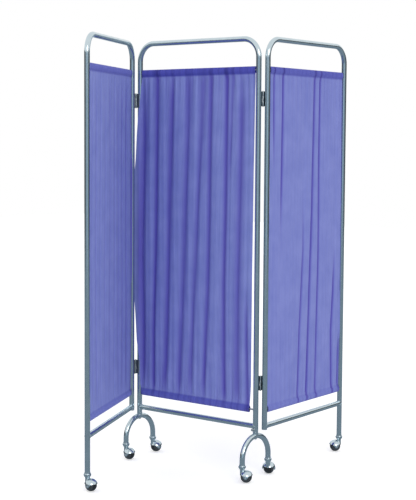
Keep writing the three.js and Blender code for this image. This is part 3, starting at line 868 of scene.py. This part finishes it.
# the outer face of one hub half and back in to its bore, in millimetres as the neck is
HUB_OUTLINE = [(3.3, 20.4), (7.2, 20.4), (8.4, 19.9), (10.6, 20.2), (13.8, 18.4), (17.2, 15.4),
               (18.3, 13.6), (18, 12.6), (3.3, 12.6)]
AXLE_RADIUS, AXLE_CAP_RADIUS = 3.0 * MM, 1.9 * MM
AXLE_SEAT, AXLE_CAP, AXLE_STEP = HOOD_OUTER + 0.1 * MM, HOOD_OUTER + 1.4 * MM, 0.3 * MM
SWIVEL_RADIUS, SWIVEL_LENGTH = 4 * MM, 15 * MM
FLANGE_RADIUS, FLANGE_THICKNESS, STEM_EDGE = 12.4 * MM, 3 * MM, 0.6 * MM
STEM_SIDE, STEM_TOP = 87.2 * MM, 87.6 * MM


def on_ball(height):
    return math.sqrt(max(BALL_RADIUS ** 2 - height ** 2, 0))


def ball_tread():
    """A black tread, with a groove at each side where the hub begins"""
    heights = np.linspace(-GROOVE + GROOVE_EDGE, GROOVE - GROOVE_EDGE, TREAD_STEPS)
    floor = on_ball(GROOVE) - GROOVE_DEPTH
    outline = [(floor, -GROOVE), *((on_ball(height), height) for height in heights), (floor, GROOVE)]
    return turned([*outline, (TREAD_BORE, GROOVE), (TREAD_BORE, -GROOVE)], WHEEL_SIDES)


def ball_hubs():
    """The two grey halves of the hub, stepped as their moulding is"""
    outline = in_mm(HUB_OUTLINE)
    low = [(radius, -height) for radius, height in outline]
    return together([turned(low, WHEEL_SIDES), turned(outline[::-1], WHEEL_SIDES)])


def caster_stem():
    top = CASTER_TOP - SEAT_GAP
    low = top - FLANGE_THICKNESS
    pin_low = low - SWIVEL_LENGTH
    return turned(eased([
        (0, pin_low), (SWIVEL_RADIUS, pin_low), (SWIVEL_RADIUS, low), (FLANGE_RADIUS, low),
        (FLANGE_RADIUS, top), (PLUG_RADIUS, top), (PLUG_RADIUS, STEM_SIDE), (0, STEM_TOP),
    ], STEM_EDGE))


axle = turned(mirrored([(AXLE_RADIUS, AXLE_SEAT + AXLE_STEP), (AXLE_CAP_RADIUS, AXLE_CAP - AXLE_STEP),
                        (0, AXLE_CAP)]), SMALL_SIDES)
tread, hubs = ball_tread(), ball_hubs()
wheel_finishes = [0] * len(tread[1]) + [1] * len(hubs[1])
print("tread faces", len(tread[1]), "hub faces", len(hubs[1]))

# %% [markdown]
# Six casters of one make stand on the floor, each swung its own way, as they were when the
# screen was last pushed. Every one is placed from its own swivel in the measured model.

# %% Place the six casters
CASTERS = ("left_outer", "left_front", "left_rear", "right_front", "right_rear", "right_outer")


def middle_of(node):
    low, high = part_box(node)
    return (low + high) / 2


for name in CASTERS:
    stem_middle = middle_of(f"{name}_caster_stem")
    trail = middle_of(f"{name}_caster_wheel") - stem_middle
    stand = shift(stem_middle.x, stem_middle.y)
    swung = stand @ turned_frame(math.degrees(math.atan2(trail.y, trail.x)))
    hub_place = swung @ shift(TRAIL, 0, HUB_HEIGHT) @ UPRIGHT_TO_Y
    carrier = name.replace("outer", "frame") if name.endswith("outer") else "centre_frame"
    make_piece(f"{name}_swivel_stem", moved(caster_stem(), stand), [chromium_plate], carrier,
               f"{name}_caster_stem")
    make_piece(f"{name}_pressed_hood", moved(hood, swung), [chromium_plate], f"{name}_caster_fork",
               f"{name}_caster_hood")
    make_piece(f"{name}_domed_axle", moved(axle, hub_place), [zinc_plate], f"{name}_caster_fork",
               f"{name}_caster_axle")
    wheel = make_piece(f"{name}_ball_wheel", moved(together([tread, hubs]), hub_place),
                       [tyre_rubber, hub_plastic], f"{name}_caster_ball",
                       f"{name}_caster_wheel")
    wheel.data.polygons.foreach_set("material_index", wheel_finishes)
    print(name, "caster at", [round(value, 3) for value in stand.translation])

# %% [markdown]
# ## The curtains
# A ward curtain is one length of cloth with a hem at each end, and a rod through each hem.
# It is wider than the frame, so it hangs in folds that start as fine gathers at the rod and
# join into a few deep ones in the middle. A simulation would give folds, though not these
# folds, so the cloth is drawn as rows along its length. Each fold is a valley that wanders as
# it goes down, and the cloth between two valleys swells out. Round each rod the rows turn
# over and come back, so the hem is a real loop with the rod in it.

# %% Helpers for hanging cloth
CLOTH = 0.7 * MM
CURTAIN_BOTTOM, CURTAIN_TOP = 270.6 * MM, 1678 * MM
HEM = 27 * MM


def smooth(low, high, value):
    """Nothing below, one above, and an even ease between"""
    share = np.clip((value - low) / (high - low), 0, 1)
    return share * share * (3 - 2 * share)


def along_height(pairs, z):
    """A value given at a few heights, in millimetres, drawn through the rest"""
    heights, values = zip(*sorted((height, value) for value, height in pairs))
    return np.interp(z / MM, heights, values) * MM


def waves(u, z, pitch, wander, seed):
    """Uneven pleats, the same on every run: odd numbers keep their drift from repeating"""
    drift = np.sin(u / (3.1 * pitch) + seed) + 0.6 * np.sin(u / (1.7 * pitch) + 2.3 * seed)
    drift = drift + wander * np.sin(z / 0.23 + seed + u / (5 * pitch))
    return np.sin(2 * math.pi * u / pitch + 1.4 * drift + seed)


def near_ends(z, reach):
    """One at both rods, and falling off over this length of cloth"""
    return np.exp(-(z - CURTAIN_BOTTOM) / reach) + np.exp(-(CURTAIN_TOP - z) / reach)


print("cloth is", round(CLOTH / MM, 1), "mm thick")

# %% [markdown]
# The valleys of each curtain are listed as places along the frame at several heights, with a
# width, a depth and a share of painted shade. The centre curtain has ten, two of them short.
# The right one is nearly smooth, with seven creases, and the left one has ten shallow pleats.
# A curtain's own entry gives its edges, how full it is, how much painted shade its two hems
# get (bottom and top), and an even painted shade over its whole length, which only the right
# curtain has.

# %% Fold lists, in millimetres as (place, height)
CENTRE_FOLDS = [
    # width, depth, share of painted shade, heights between which it is deepest, path
    (20, 4.3, 0.85, (1400, 420), [(-290, 1680), (-291, 1423), (-297, 1251), (-302, 1078), (-306, 905),
                                  (-301, 731), (-295, 556), (-293, 290)]),
    (13, 4.6, 0.95, (1660, 360), [(-219, 1680), (-222, 1423), (-225, 1252), (-228, 909), (-233, 736),
                                  (-238, 561), (-237, 290)]),
    (17, 4.2, 0.85, (1540, 380), [(-133, 1680), (-142, 1423), (-152, 1084), (-159, 741), (-168, 438),
                                  (-182, 290)]),
    (18, 4.0, 0.75, (1600, 380), [(-44, 1680), (-49, 1423), (-65, 1087), (-75, 748), (-88, 447), (-94, 290)]),
    (15, 3.6, 0.7, (1600, 400), [(31, 1680), (23, 1423), (3, 1090), (-15, 752), (-29, 453), (-34, 290)]),
    (14, 3.8, 0.85, (1620, 400), [(71, 1680), (69, 1423), (67, 1092), (59, 758), (46, 461), (38, 290)]),
    (14, 4.0, 0.9, (1640, 360), [(155, 1680), (154, 1423), (152, 1095), (144, 764), (146, 472), (150, 290)]),
    (8, 2.5, 0.6, (1640, 1350), [(186, 1680), (181, 1500), (172, 1200)]),
    (20, 3.8, 0.75, (1440, 380), [(236, 1680), (231, 1423), (225, 1098), (218, 769), (215, 479), (217, 290)]),
    (10, 2.5, 0.9, (560, 290), [(264, 800), (267, 560), (277, 262)]),
]
RIGHT_FOLDS = [
    (6, 3.5, 0.9, (1670, 1500), [(260, 1680), (260, 1504), (258, 1250)]),
    (8, 4.5, 1.0, (1670, 1250), [(192, 1680), (194, 1343), (197, 980)]),
    (8, 5.5, 1.0, (1670, 300), [(-61, 1690), (-58, 1427), (-50, 1088), (-33, 747), (-24, 446), (-18, 262)]),
    (7, 4.5, 0.95, (1640, 300), [(-106, 1690), (-103, 1257), (-104, 913), (-96, 568), (-93, 262)]),
    (7, 4.0, 0.8, (800, 300), [(24, 1150), (20, 921), (44, 583), (55, 262)]),
    (8, 5.5, 1.0, (720, 300), [(-239, 900), (-237, 729), (-224, 553), (-231, 262)]),
    (6, 4.0, 0.9, (440, 300), [(-287, 520), (-285, 412), (-284, 262)]),
]
LEFT_FOLDS = [
    (9, 2.2, 0.3, (1500, 450), [(-246, 1640), (-250, 900), (-244, 310)]),
    (8, 2.2, 0.35, (1500, 450), [(-196, 1640), (-199, 900), (-192, 310)]),
    (8, 2.2, 0.25, (1500, 450), [(-139, 1640), (-142, 900), (-137, 310)]),
    (8, 2.2, 0.35, (1500, 450), [(-78, 1640), (-80, 900), (-76, 310)]),
    (8, 2.2, 0.4, (1500, 450), [(-11, 1640), (-13, 900), (-9, 310)]),
    (9, 2.4, 0.35, (1500, 450), [(52, 1640), (49, 900), (50, 310)]),
    (8, 2.4, 0.5, (1500, 400), [(104, 1640), (100, 900), (104, 300)]),
    (8, 2.2, 0.6, (1500, 400), [(158, 1640), (156, 900), (160, 300)]),
    (9, 2.6, 0.65, (1500, 400), [(216, 1640), (214, 900), (218, 300)]),
    (8, 1.5, 1.0, (1660, 300), [(287, 1680), (289, 1450), (291, 1250), (290, 800), (284, 450), (277, 262)]),
]
# each curtain's even painted shade darkens its whole length; only the right one has any
CURTAINS = {
    "centre": {
        "folds": CENTRE_FOLDS, "facing": -1, "swell": 4.5 * MM, "pleat": 2.6 * MM, "seed": 0.7, "even_painted_shade": 0.0,
        "hems": (0.75, 0.95),
        "left": [(-303, 1680), (-309, 1560), (-318, 1490), (-326, 1400), (-332, 1300), (-340, 1230),
                 (-343, 1150), (-343, 900), (-342, 730), (-333, 630), (-324, 510), (-309, 425), (-309, 364),
                 (-307, 312), (-303, 270)],
        "right": [(302, 1671), (298, 1543), (295, 1262), (294, 938), (292, 611), (290, 383), (285, 279)],
    },
    "left": {
        "folds": LEFT_FOLDS, "facing": -1, "swell": 1.5 * MM, "pleat": 1.2 * MM, "seed": 2.1, "even_painted_shade": 0.0,
        "hems": (0.3, 0.6),
        "left": [(-291, 1680), (-293, 1250), (-294, 800), (-292, 272)],
        "right": [(291, 1680), (293, 1450), (295.5, 1250), (295, 800), (290, 450), (283, 272)],
    },
    "right": {
        "folds": RIGHT_FOLDS, "facing": 1, "swell": 2.6 * MM, "pleat": 1.3 * MM, "seed": 4.4, "even_painted_shade": 0.16,
        "hems": (0.15, 0.75),
        "left": [(-289, 1680), (-289, 1342), (-294, 901), (-295, 544), (-291, 272)],
        "right": [(290, 1672), (289, 1544), (286, 1141), (285, 732), (287, 272)],
    },
}
print({name: len(shape["folds"]) for name, shape in CURTAINS.items()}, "folds drawn")

# %% [markdown]
# The next cell turns those lists into the cloth's depth. The swelling between two valleys is
# the arch that slack cloth takes, and each valley is a narrow dip. The gathers are strongest
# at the rods. Where the cloth laps over a post it lies on the post's round, one clearance off.

# %% Depth of the cloth
POST_CLEARANCE = TUBE_RADIUS + 0.9 * MM
LAP_PLAY, LAP_BLEND, BEYOND_POST = 0.05 * MM, 1.2 * MM, -20 * MM
ROD_HOLD = 110 * MM
HELD_SWELL = 0.25
LEAST_SPAN, FULL_SPAN, LEAST_FULLNESS = 8 * MM, 85 * MM, 0.25
# beyond its listed heights a fold fades out over this many millimetres
FOLD_FADE = 40
SHADE_SPREAD = 1.1
FINE_REACH, WIDE_REACH = 60 * MM, 200 * MM
FINE_PITCH, FINER_PITCH, WIDE_PITCH, LOOSE_PITCH = 15 * MM, 9.5 * MM, 34 * MM, 27 * MM
SHADE_DEPTH = 9 * MM
SLACK_DEPTH, SLACK_RISE, SLACK_RUN = 1.2 * MM, 0.19, 0.3
DEEPEST = 9.6 * MM


def swelling(shape, walls, u):
    """The arch of slack cloth between each valley and the next"""
    depth = np.zeros_like(u)
    for low, high in zip(walls, walls[1:]):
        span = np.maximum(high - low, LEAST_SPAN)
        share = np.clip((u - low) / span, 0, 1)
        fullness = np.clip(span / FULL_SPAN, LEAST_FULLNESS, 1)
        depth += shape["swell"] * fullness * np.sin(math.pi * share) ** 0.8 * (share > 0) * (share < 1)
    return depth


def lapped_over_posts(depth, width, u):
    """The depth with the cloth kept off the posts that it laps over"""
    for post in (-width / 2, width / 2):
        beyond = (u - post) * math.copysign(1, post)
        round_of_post = np.sqrt(np.maximum(POST_CLEARANCE ** 2 - np.minimum(beyond, 0) ** 2, 0))
        over = np.where(beyond < -POST_CLEARANCE, BEYOND_POST, round_of_post)
        depth = 0.5 * (depth + over + np.sqrt((depth - over) ** 2 + LAP_BLEND ** 2))
    return np.minimum(depth, POST_CLEARANCE + LAP_PLAY)


def cloth_depth(shape, width, u, z):
    """Depth towards the seen side, and how much painted shade goes there"""
    starts = along_height(shape["left"], z)
    ends = along_height(shape["right"], z)
    hang = smooth(0, ROD_HOLD, z - CURTAIN_BOTTOM) * smooth(0, ROD_HOLD, CURTAIN_TOP - z)
    middles = sorted((along_height(path, z) for *_, path in shape["folds"]), key=lambda row: row.mean())
    depth = swelling(shape, np.stack([starts, *middles, ends]), u)
    depth *= HELD_SWELL + (1 - HELD_SWELL) * hang
    # an even painted shade first, then painted shade along each fold
    shade = np.full_like(u, shape["even_painted_shade"])
    for fold_width, deep, dark_share, (top, low_end), path in shape["folds"]:
        heights = [height for _, height in path]
        off = (u - along_height(path, z)) / (fold_width * MM)
        rising = 1 - smooth(top * MM, (max(heights) + FOLD_FADE) * MM, z)
        strength = rising * smooth((min(heights) - FOLD_FADE) * MM, low_end * MM, z)
        depth -= deep * MM * strength * np.exp(-off ** 2)
        shade += dark_share * strength * np.exp(-SHADE_SPREAD * off ** 2)
    gather, half_gather = near_ends(z, FINE_REACH), near_ends(z, WIDE_REACH)
    pleat, seed = shape["pleat"], shape["seed"]
    fine = 0.6 * waves(u, z, FINE_PITCH, 0.3, seed) + 0.4 * waves(u, z, FINER_PITCH, 0.2, seed + 1)
    middling = waves(u, z, WIDE_PITCH, 0.5, seed + 2)
    depth += pleat * (gather * fine + 0.8 * half_gather * middling)
    depth += 0.2 * pleat * waves(u, z, LOOSE_PITCH, 0.8, seed + 3)
    # painted shade in the hollows of the gathers
    shade += pleat / SHADE_DEPTH * (gather * np.maximum(-fine, 0) + half_gather * np.maximum(-middling, 0))
    depth += SLACK_DEPTH * np.sin(z / SLACK_RISE + 3 * u / SLACK_RUN + seed)
    depth = lapped_over_posts(np.clip(depth, -DEEPEST, DEEPEST), width, u)
    return depth, np.clip(shade, 0, 1)


print("between the posts the cloth swells and dips by", round(DEEPEST / MM, 1), "mm at most")

# %% The curtain's surface, with its hems round the rods
HEM_STEPS, BODY_STEPS, COLUMNS = 9, 190, 230
ROD_PLAY = 0.5 * MM
LAYER_SPLIT = 0.6
HEM_GATHER, HEM_PITCH = 0.9 * MM, 13 * MM
STITCH_REACH = 22 * MM
MIDDLE_HEIGHT = 1.0


def hem_row(end, inward, share, layer):
    """A row of a hem's loop: its height, its layer and how far the rod holds the loop open"""
    return end + inward * HEM * share, layer, math.sin(math.pi * share) ** 0.6


def cloth_rows():
    """Every row from the bottom hem's back, round both rods; layer 0 is single cloth, 1 is in front"""
    shares = np.linspace(0, 1, HEM_STEPS)
    rows = [hem_row(CURTAIN_BOTTOM, 1, share, -1) for share in shares[:0:-1]]
    rows += [hem_row(CURTAIN_BOTTOM, 1, share, 1) for share in shares]
    rows += [(z, 0, 0) for z in np.linspace(CURTAIN_BOTTOM + HEM, CURTAIN_TOP - HEM, BODY_STEPS)[1:-1]]
    rows += [hem_row(CURTAIN_TOP, -1, share, 1) for share in shares[::-1]]
    rows += [hem_row(CURTAIN_TOP, -1, share, -1) for share in shares[1:]]
    return [np.array(column, float) for column in zip(*rows)]


def curtain_sheet(name, width):
    shape = CURTAINS[name]
    heights, layers, loops = cloth_rows()
    starts = along_height(shape["left"], heights)
    ends = along_height(shape["right"], heights)
    u = starts[:, None] + (ends - starts)[:, None] * np.linspace(0, 1, COLUMNS)[None, :]
    z = np.repeat(heights[:, None], COLUMNS, axis=1)
    depth, shade = cloth_depth(shape, width, u, z)
    in_hem = (layers != 0)[:, None]
    rod_room = ROD_RADIUS + ROD_PLAY + CLOTH / 2
    gathers = HEM_GATHER * (1 + waves(u, z, HEM_PITCH, 0.1, shape["seed"]))
    loop = layers[:, None] * (loops[:, None] * (rod_room + gathers) + CLOTH * LAYER_SPLIT)
    stitched = smooth(0, STITCH_REACH, np.minimum(z - CURTAIN_BOTTOM - HEM, CURTAIN_TOP - HEM - z))
    depth = np.where(in_hem, loop, depth * stitched + CLOTH * LAYER_SPLIT * (1 - stitched))
    # painted shade on the hems, at each curtain's bottom and top amounts
    low_hem, high_hem = shape["hems"]
    hem = in_hem * np.where(z < MIDDLE_HEIGHT, low_hem, high_hem)
    surface = np.stack([u, shape["facing"] * depth, z], axis=2)
    return surface, shade, hem


surface, _, _ = curtain_sheet("centre", CENTRE_WIDTH)
print("centre cloth has", surface.shape[0], "rows of", surface.shape[1], "points")

# %% [markdown]
# A cloth needs two sides and a cut edge. Each point is moved half the cloth's thickness both
# ways along the surface's own direction, and the four edges are closed. The cloth's length
# and width are kept in the mesh as its UV map, in metres, so the weave has its real scale.

# %% Sew the cloth together
CLOTH_CREASE = math.radians(80)


def two_sided(surface):
    """The sheet with its thickness, as a shell"""
    outward = np.cross(np.gradient(surface, axis=1), np.gradient(surface, axis=0))
    outward /= np.linalg.norm(outward, axis=2)[:, :, None]
    front = (surface + outward * CLOTH / 2).reshape(-1, 3)
    back = (surface - outward * CLOTH / 2).reshape(-1, 3)
    number = np.arange(len(front)).reshape(surface.shape[:2])
    other = number + number.size
    rim = [*number[0], *number[1:, -1], *number[-1, -2::-1], *number[-2:0:-1, 0]]
    faces = skin(number.tolist(), closed=False) + skin(other.tolist(), flipped=True, closed=False)
    faces += band([point + number.size for point in rim], rim)
    return np.vstack([front, back]), faces


def measured(surface):
    """How far each point is along the cloth's width and length, in metres, by following its folds"""
    count_rows, count_columns, _ = surface.shape
    steps = np.linalg.norm(np.diff(surface, axis=1), axis=2)
    gone = np.concatenate([np.zeros((count_rows, 1)), np.cumsum(steps, axis=1)], axis=1)
    rise = np.linalg.norm(np.diff(surface[:, count_columns // 2], axis=0), axis=1)
    risen = np.concatenate([[0], np.cumsum(rise)])
    return gone, risen


def sew(name, width):
    surface, shade, hem = curtain_sheet(name, width)
    piece = make_piece(f"{name}_gathered_cloth", moved(two_sided(surface), places[name]), [curtain_cotton],
                       f"{name}_frame", f"{name}_curtain", sharp=CLOTH_CREASE)
    mesh = piece.data
    gone, risen = measured(surface)
    metres = np.stack([gone, np.repeat(risen[:, None], gone.shape[1], axis=1)], axis=2).reshape(-1, 2)
    corner_points = np.zeros(len(mesh.loops), int)
    mesh.loops.foreach_get("vertex_index", corner_points)
    layer = mesh.uv_layers.new(name="cloth_metres")
    layer.data.foreach_set("uv", np.vstack([metres, metres])[corner_points].ravel())
    # both marks are painted shade for the cotton
    for mark, values in (("fold_shade", shade), ("hem_shade", hem)):
        both_sides = np.concatenate([values.ravel(), values.ravel()])
        mesh.attributes.new(mark, "FLOAT", "POINT").data.foreach_set("value", both_sides)
    return piece, gone[:, -1].mean(), risen[-1]


for name, (width, *_) in frames.items():
    piece, cut_width, cut_length = sew(name, width)
    print(piece.name, "is cut", round(cut_width / MM), "by", round(cut_length / MM), "mm")

# %% [markdown]
# ## Floor and studio
# The screen was photographed on white. The floor is plain pale matt paint that keeps the
# screen's shadow, and it glows a little for the camera and in reflections, so that it reads as
# white. The room behind is white for both too. Bright metal shows what stands round it, so
# dark flags stand at both sides, out of the camera's sight. They give each tube its dark edges
# and its bright middle, as a product photographer does. One wide sun, to the camera's right,
# gives the folds their shading.

# %% Floor
FLOOR_HALF = 14.0
FLOOR_SPECKLE = 25 * MM
FLOOR_GLOW = 0.42
WHITE = (1, 1, 1, 1)


def in_plain_sight(tree):
    """One for what the camera sees straight, mirrored or through glass, and zero for other light"""
    path = add_node(tree, "ShaderNodeLightPath")
    straight = add_node(tree, "ShaderNodeMath", {"operation": "MAXIMUM"},
                        {0: path.outputs["Is Camera Ray"], 1: path.outputs["Is Glossy Ray"]})
    either = add_node(tree, "ShaderNodeMath", {"operation": "MAXIMUM"},
                      {0: straight.outputs["Value"], 1: path.outputs["Is Transmission Ray"]})
    return either.outputs["Value"]


def floor_finish():
    finish = bpy.data.materials.new("pale_matt_floor_paint")
    tree = empty_tree(finish)
    where = add_node(tree, "ShaderNodeTexCoord")
    speckle = add_node(tree, "ShaderNodeTexNoise", {"Scale": 1 / FLOOR_SPECKLE, "Detail": 3.0},
                       {"Vector": where.outputs["Object"]})
    tint = add_node(tree, "ShaderNodeMix", {"data_type": "RGBA", 6: linear("#F4F4F4"), 7: linear("#F8F8F8")},
                    {0: speckle.outputs["Fac"]})
    matt = add_node(tree, "ShaderNodeBsdfDiffuse", {}, {"Color": tint.outputs[2]})
    seen = add_node(tree, "ShaderNodeMath", {"operation": "MULTIPLY", 1: FLOOR_GLOW},
                    {0: in_plain_sight(tree)})
    glow = add_node(tree, "ShaderNodeEmission", {"Color": WHITE}, {"Strength": seen.outputs["Value"]})
    both = add_node(tree, "ShaderNodeAddShader", {}, {0: matt.outputs["BSDF"], 1: glow.outputs["Emission"]})
    add_node(tree, "ShaderNodeOutputMaterial", {}, {"Surface": both.outputs["Shader"]})
    return finish


floor_corners = [(-FLOOR_HALF, -FLOOR_HALF, 0), (FLOOR_HALF, -FLOOR_HALF, 0),
                 (FLOOR_HALF, FLOOR_HALF, 0), (-FLOOR_HALF, FLOOR_HALF, 0)]
floor = new_object("studio_floor", floor_corners, [(0, 1, 2, 3)], [floor_finish()])
print("floor is", 2 * FLOOR_HALF, "m wide")

# %% Room light
ROOM_LEVEL = 0.75
KEY_LEVEL, KEY_ANGLE = 0.75, math.radians(24)
KEY_DIRECTION = Vector((0.78, -0.52, 0.42))

world = bpy.data.worlds.new("white_room")
bpy.context.scene.world = world
tree = empty_tree(world)
strength = add_node(tree, "ShaderNodeMapRange", {"To Min": ROOM_LEVEL, "To Max": 1.0},
                    {"Value": in_plain_sight(tree)})
sky = add_node(tree, "ShaderNodeBackground", {"Color": WHITE}, {"Strength": strength.outputs["Result"]})
add_node(tree, "ShaderNodeOutputWorld", {}, {"Surface": sky.outputs["Background"]})

key_data = bpy.data.lights.new("soft_key", "SUN")
key_data.energy = KEY_LEVEL
key_data.angle = KEY_ANGLE
key = bpy.data.objects.new("soft_key", key_data)
key.rotation_euler = KEY_DIRECTION.to_track_quat("Z", "Y").to_euler()
bpy.context.scene.collection.objects.link(key)
print("room level", ROOM_LEVEL, "key", KEY_LEVEL)

# %% [markdown]
# The flags are one open drum of cloth, 3.4 m high, far out round the stage. Its brightness
# goes by direction: bright behind the camera and behind the screen, and dark at both sides. A
# grey sheet lies on the floor inside it, which gives the rails their dark undersides. Only
# reflections see these.

# %% Studio flags for reflections
DRUM_RADIUS, DRUM_FOOT, DRUM_HEIGHT = 12.5, 0.01, 3.4
DRUM_STEPS = 72
SHEET_LEVEL, SHEET_LIFT = 0.52, 1 * MM
# degrees round from the camera's side, and the brightness there
LEVELS = [(0, 0.82), (14, 0.78), (30, 0.5), (60, 0.34), (95, 0.12), (138, 0.1), (155, 0.8), (180, 0.95)]
toward_camera = math.atan2(CAMERA_PLACE.y, CAMERA_PLACE.x)


def drum_level(angle):
    """How bright the drum is this way round from the camera's side"""
    away = abs((math.degrees(angle - toward_camera) + 180) % 360 - 180)
    return float(np.interp(away, *zip(*LEVELS)))


def flag_cloth():
    """Cloth that shines by its own level, and is bluer where it is bright"""
    finish = bpy.data.materials.new("graded_flag_cloth")
    tree = empty_tree(finish)
    grade = add_node(tree, "ShaderNodeAttribute", {"attribute_name": "flag_level"}).outputs["Fac"]
    cold = add_node(tree, "ShaderNodeMix", {"data_type": "RGBA", 6: linear("#B4B8BA"), 7: linear("#C2DEF4")},
                    {0: grade})
    shine = add_node(tree, "ShaderNodeEmission", {}, {"Color": cold.outputs[2], "Strength": grade})
    add_node(tree, "ShaderNodeOutputMaterial", {}, {"Surface": shine.outputs["Emission"]})
    return finish


def hang_flag(name, points, faces, levels, finish):
    flag = new_object(name, points, faces, [finish])
    flag.data.attributes.new("flag_level", "FLOAT", "POINT").data.foreach_set("value", levels)
    flag.visible_camera = False
    flag.visible_diffuse = False
    flag.visible_shadow = False
    flag.visible_transmission = False
    flag.visible_volume_scatter = False


graded_cloth = flag_cloth()
drum_points, drum_rows = stack([ring(DRUM_RADIUS, height, DRUM_STEPS) for height in (DRUM_FOOT, DRUM_HEIGHT)])
drum_levels = [drum_level(angle) for angle in around(DRUM_STEPS)]
hang_flag("studio_flags", drum_points, skin(drum_rows), 2 * drum_levels, graded_cloth)
hang_flag("studio_grey_sheet", ring(DRUM_RADIUS, SHEET_LIFT, DRUM_STEPS), [list(range(DRUM_STEPS))],
          [SHEET_LEVEL] * DRUM_STEPS, graded_cloth)
print("flags stand", DRUM_RADIUS, "m from the screen")

# %% The view transform
bpy.context.scene.view_settings.view_transform = "Standard"
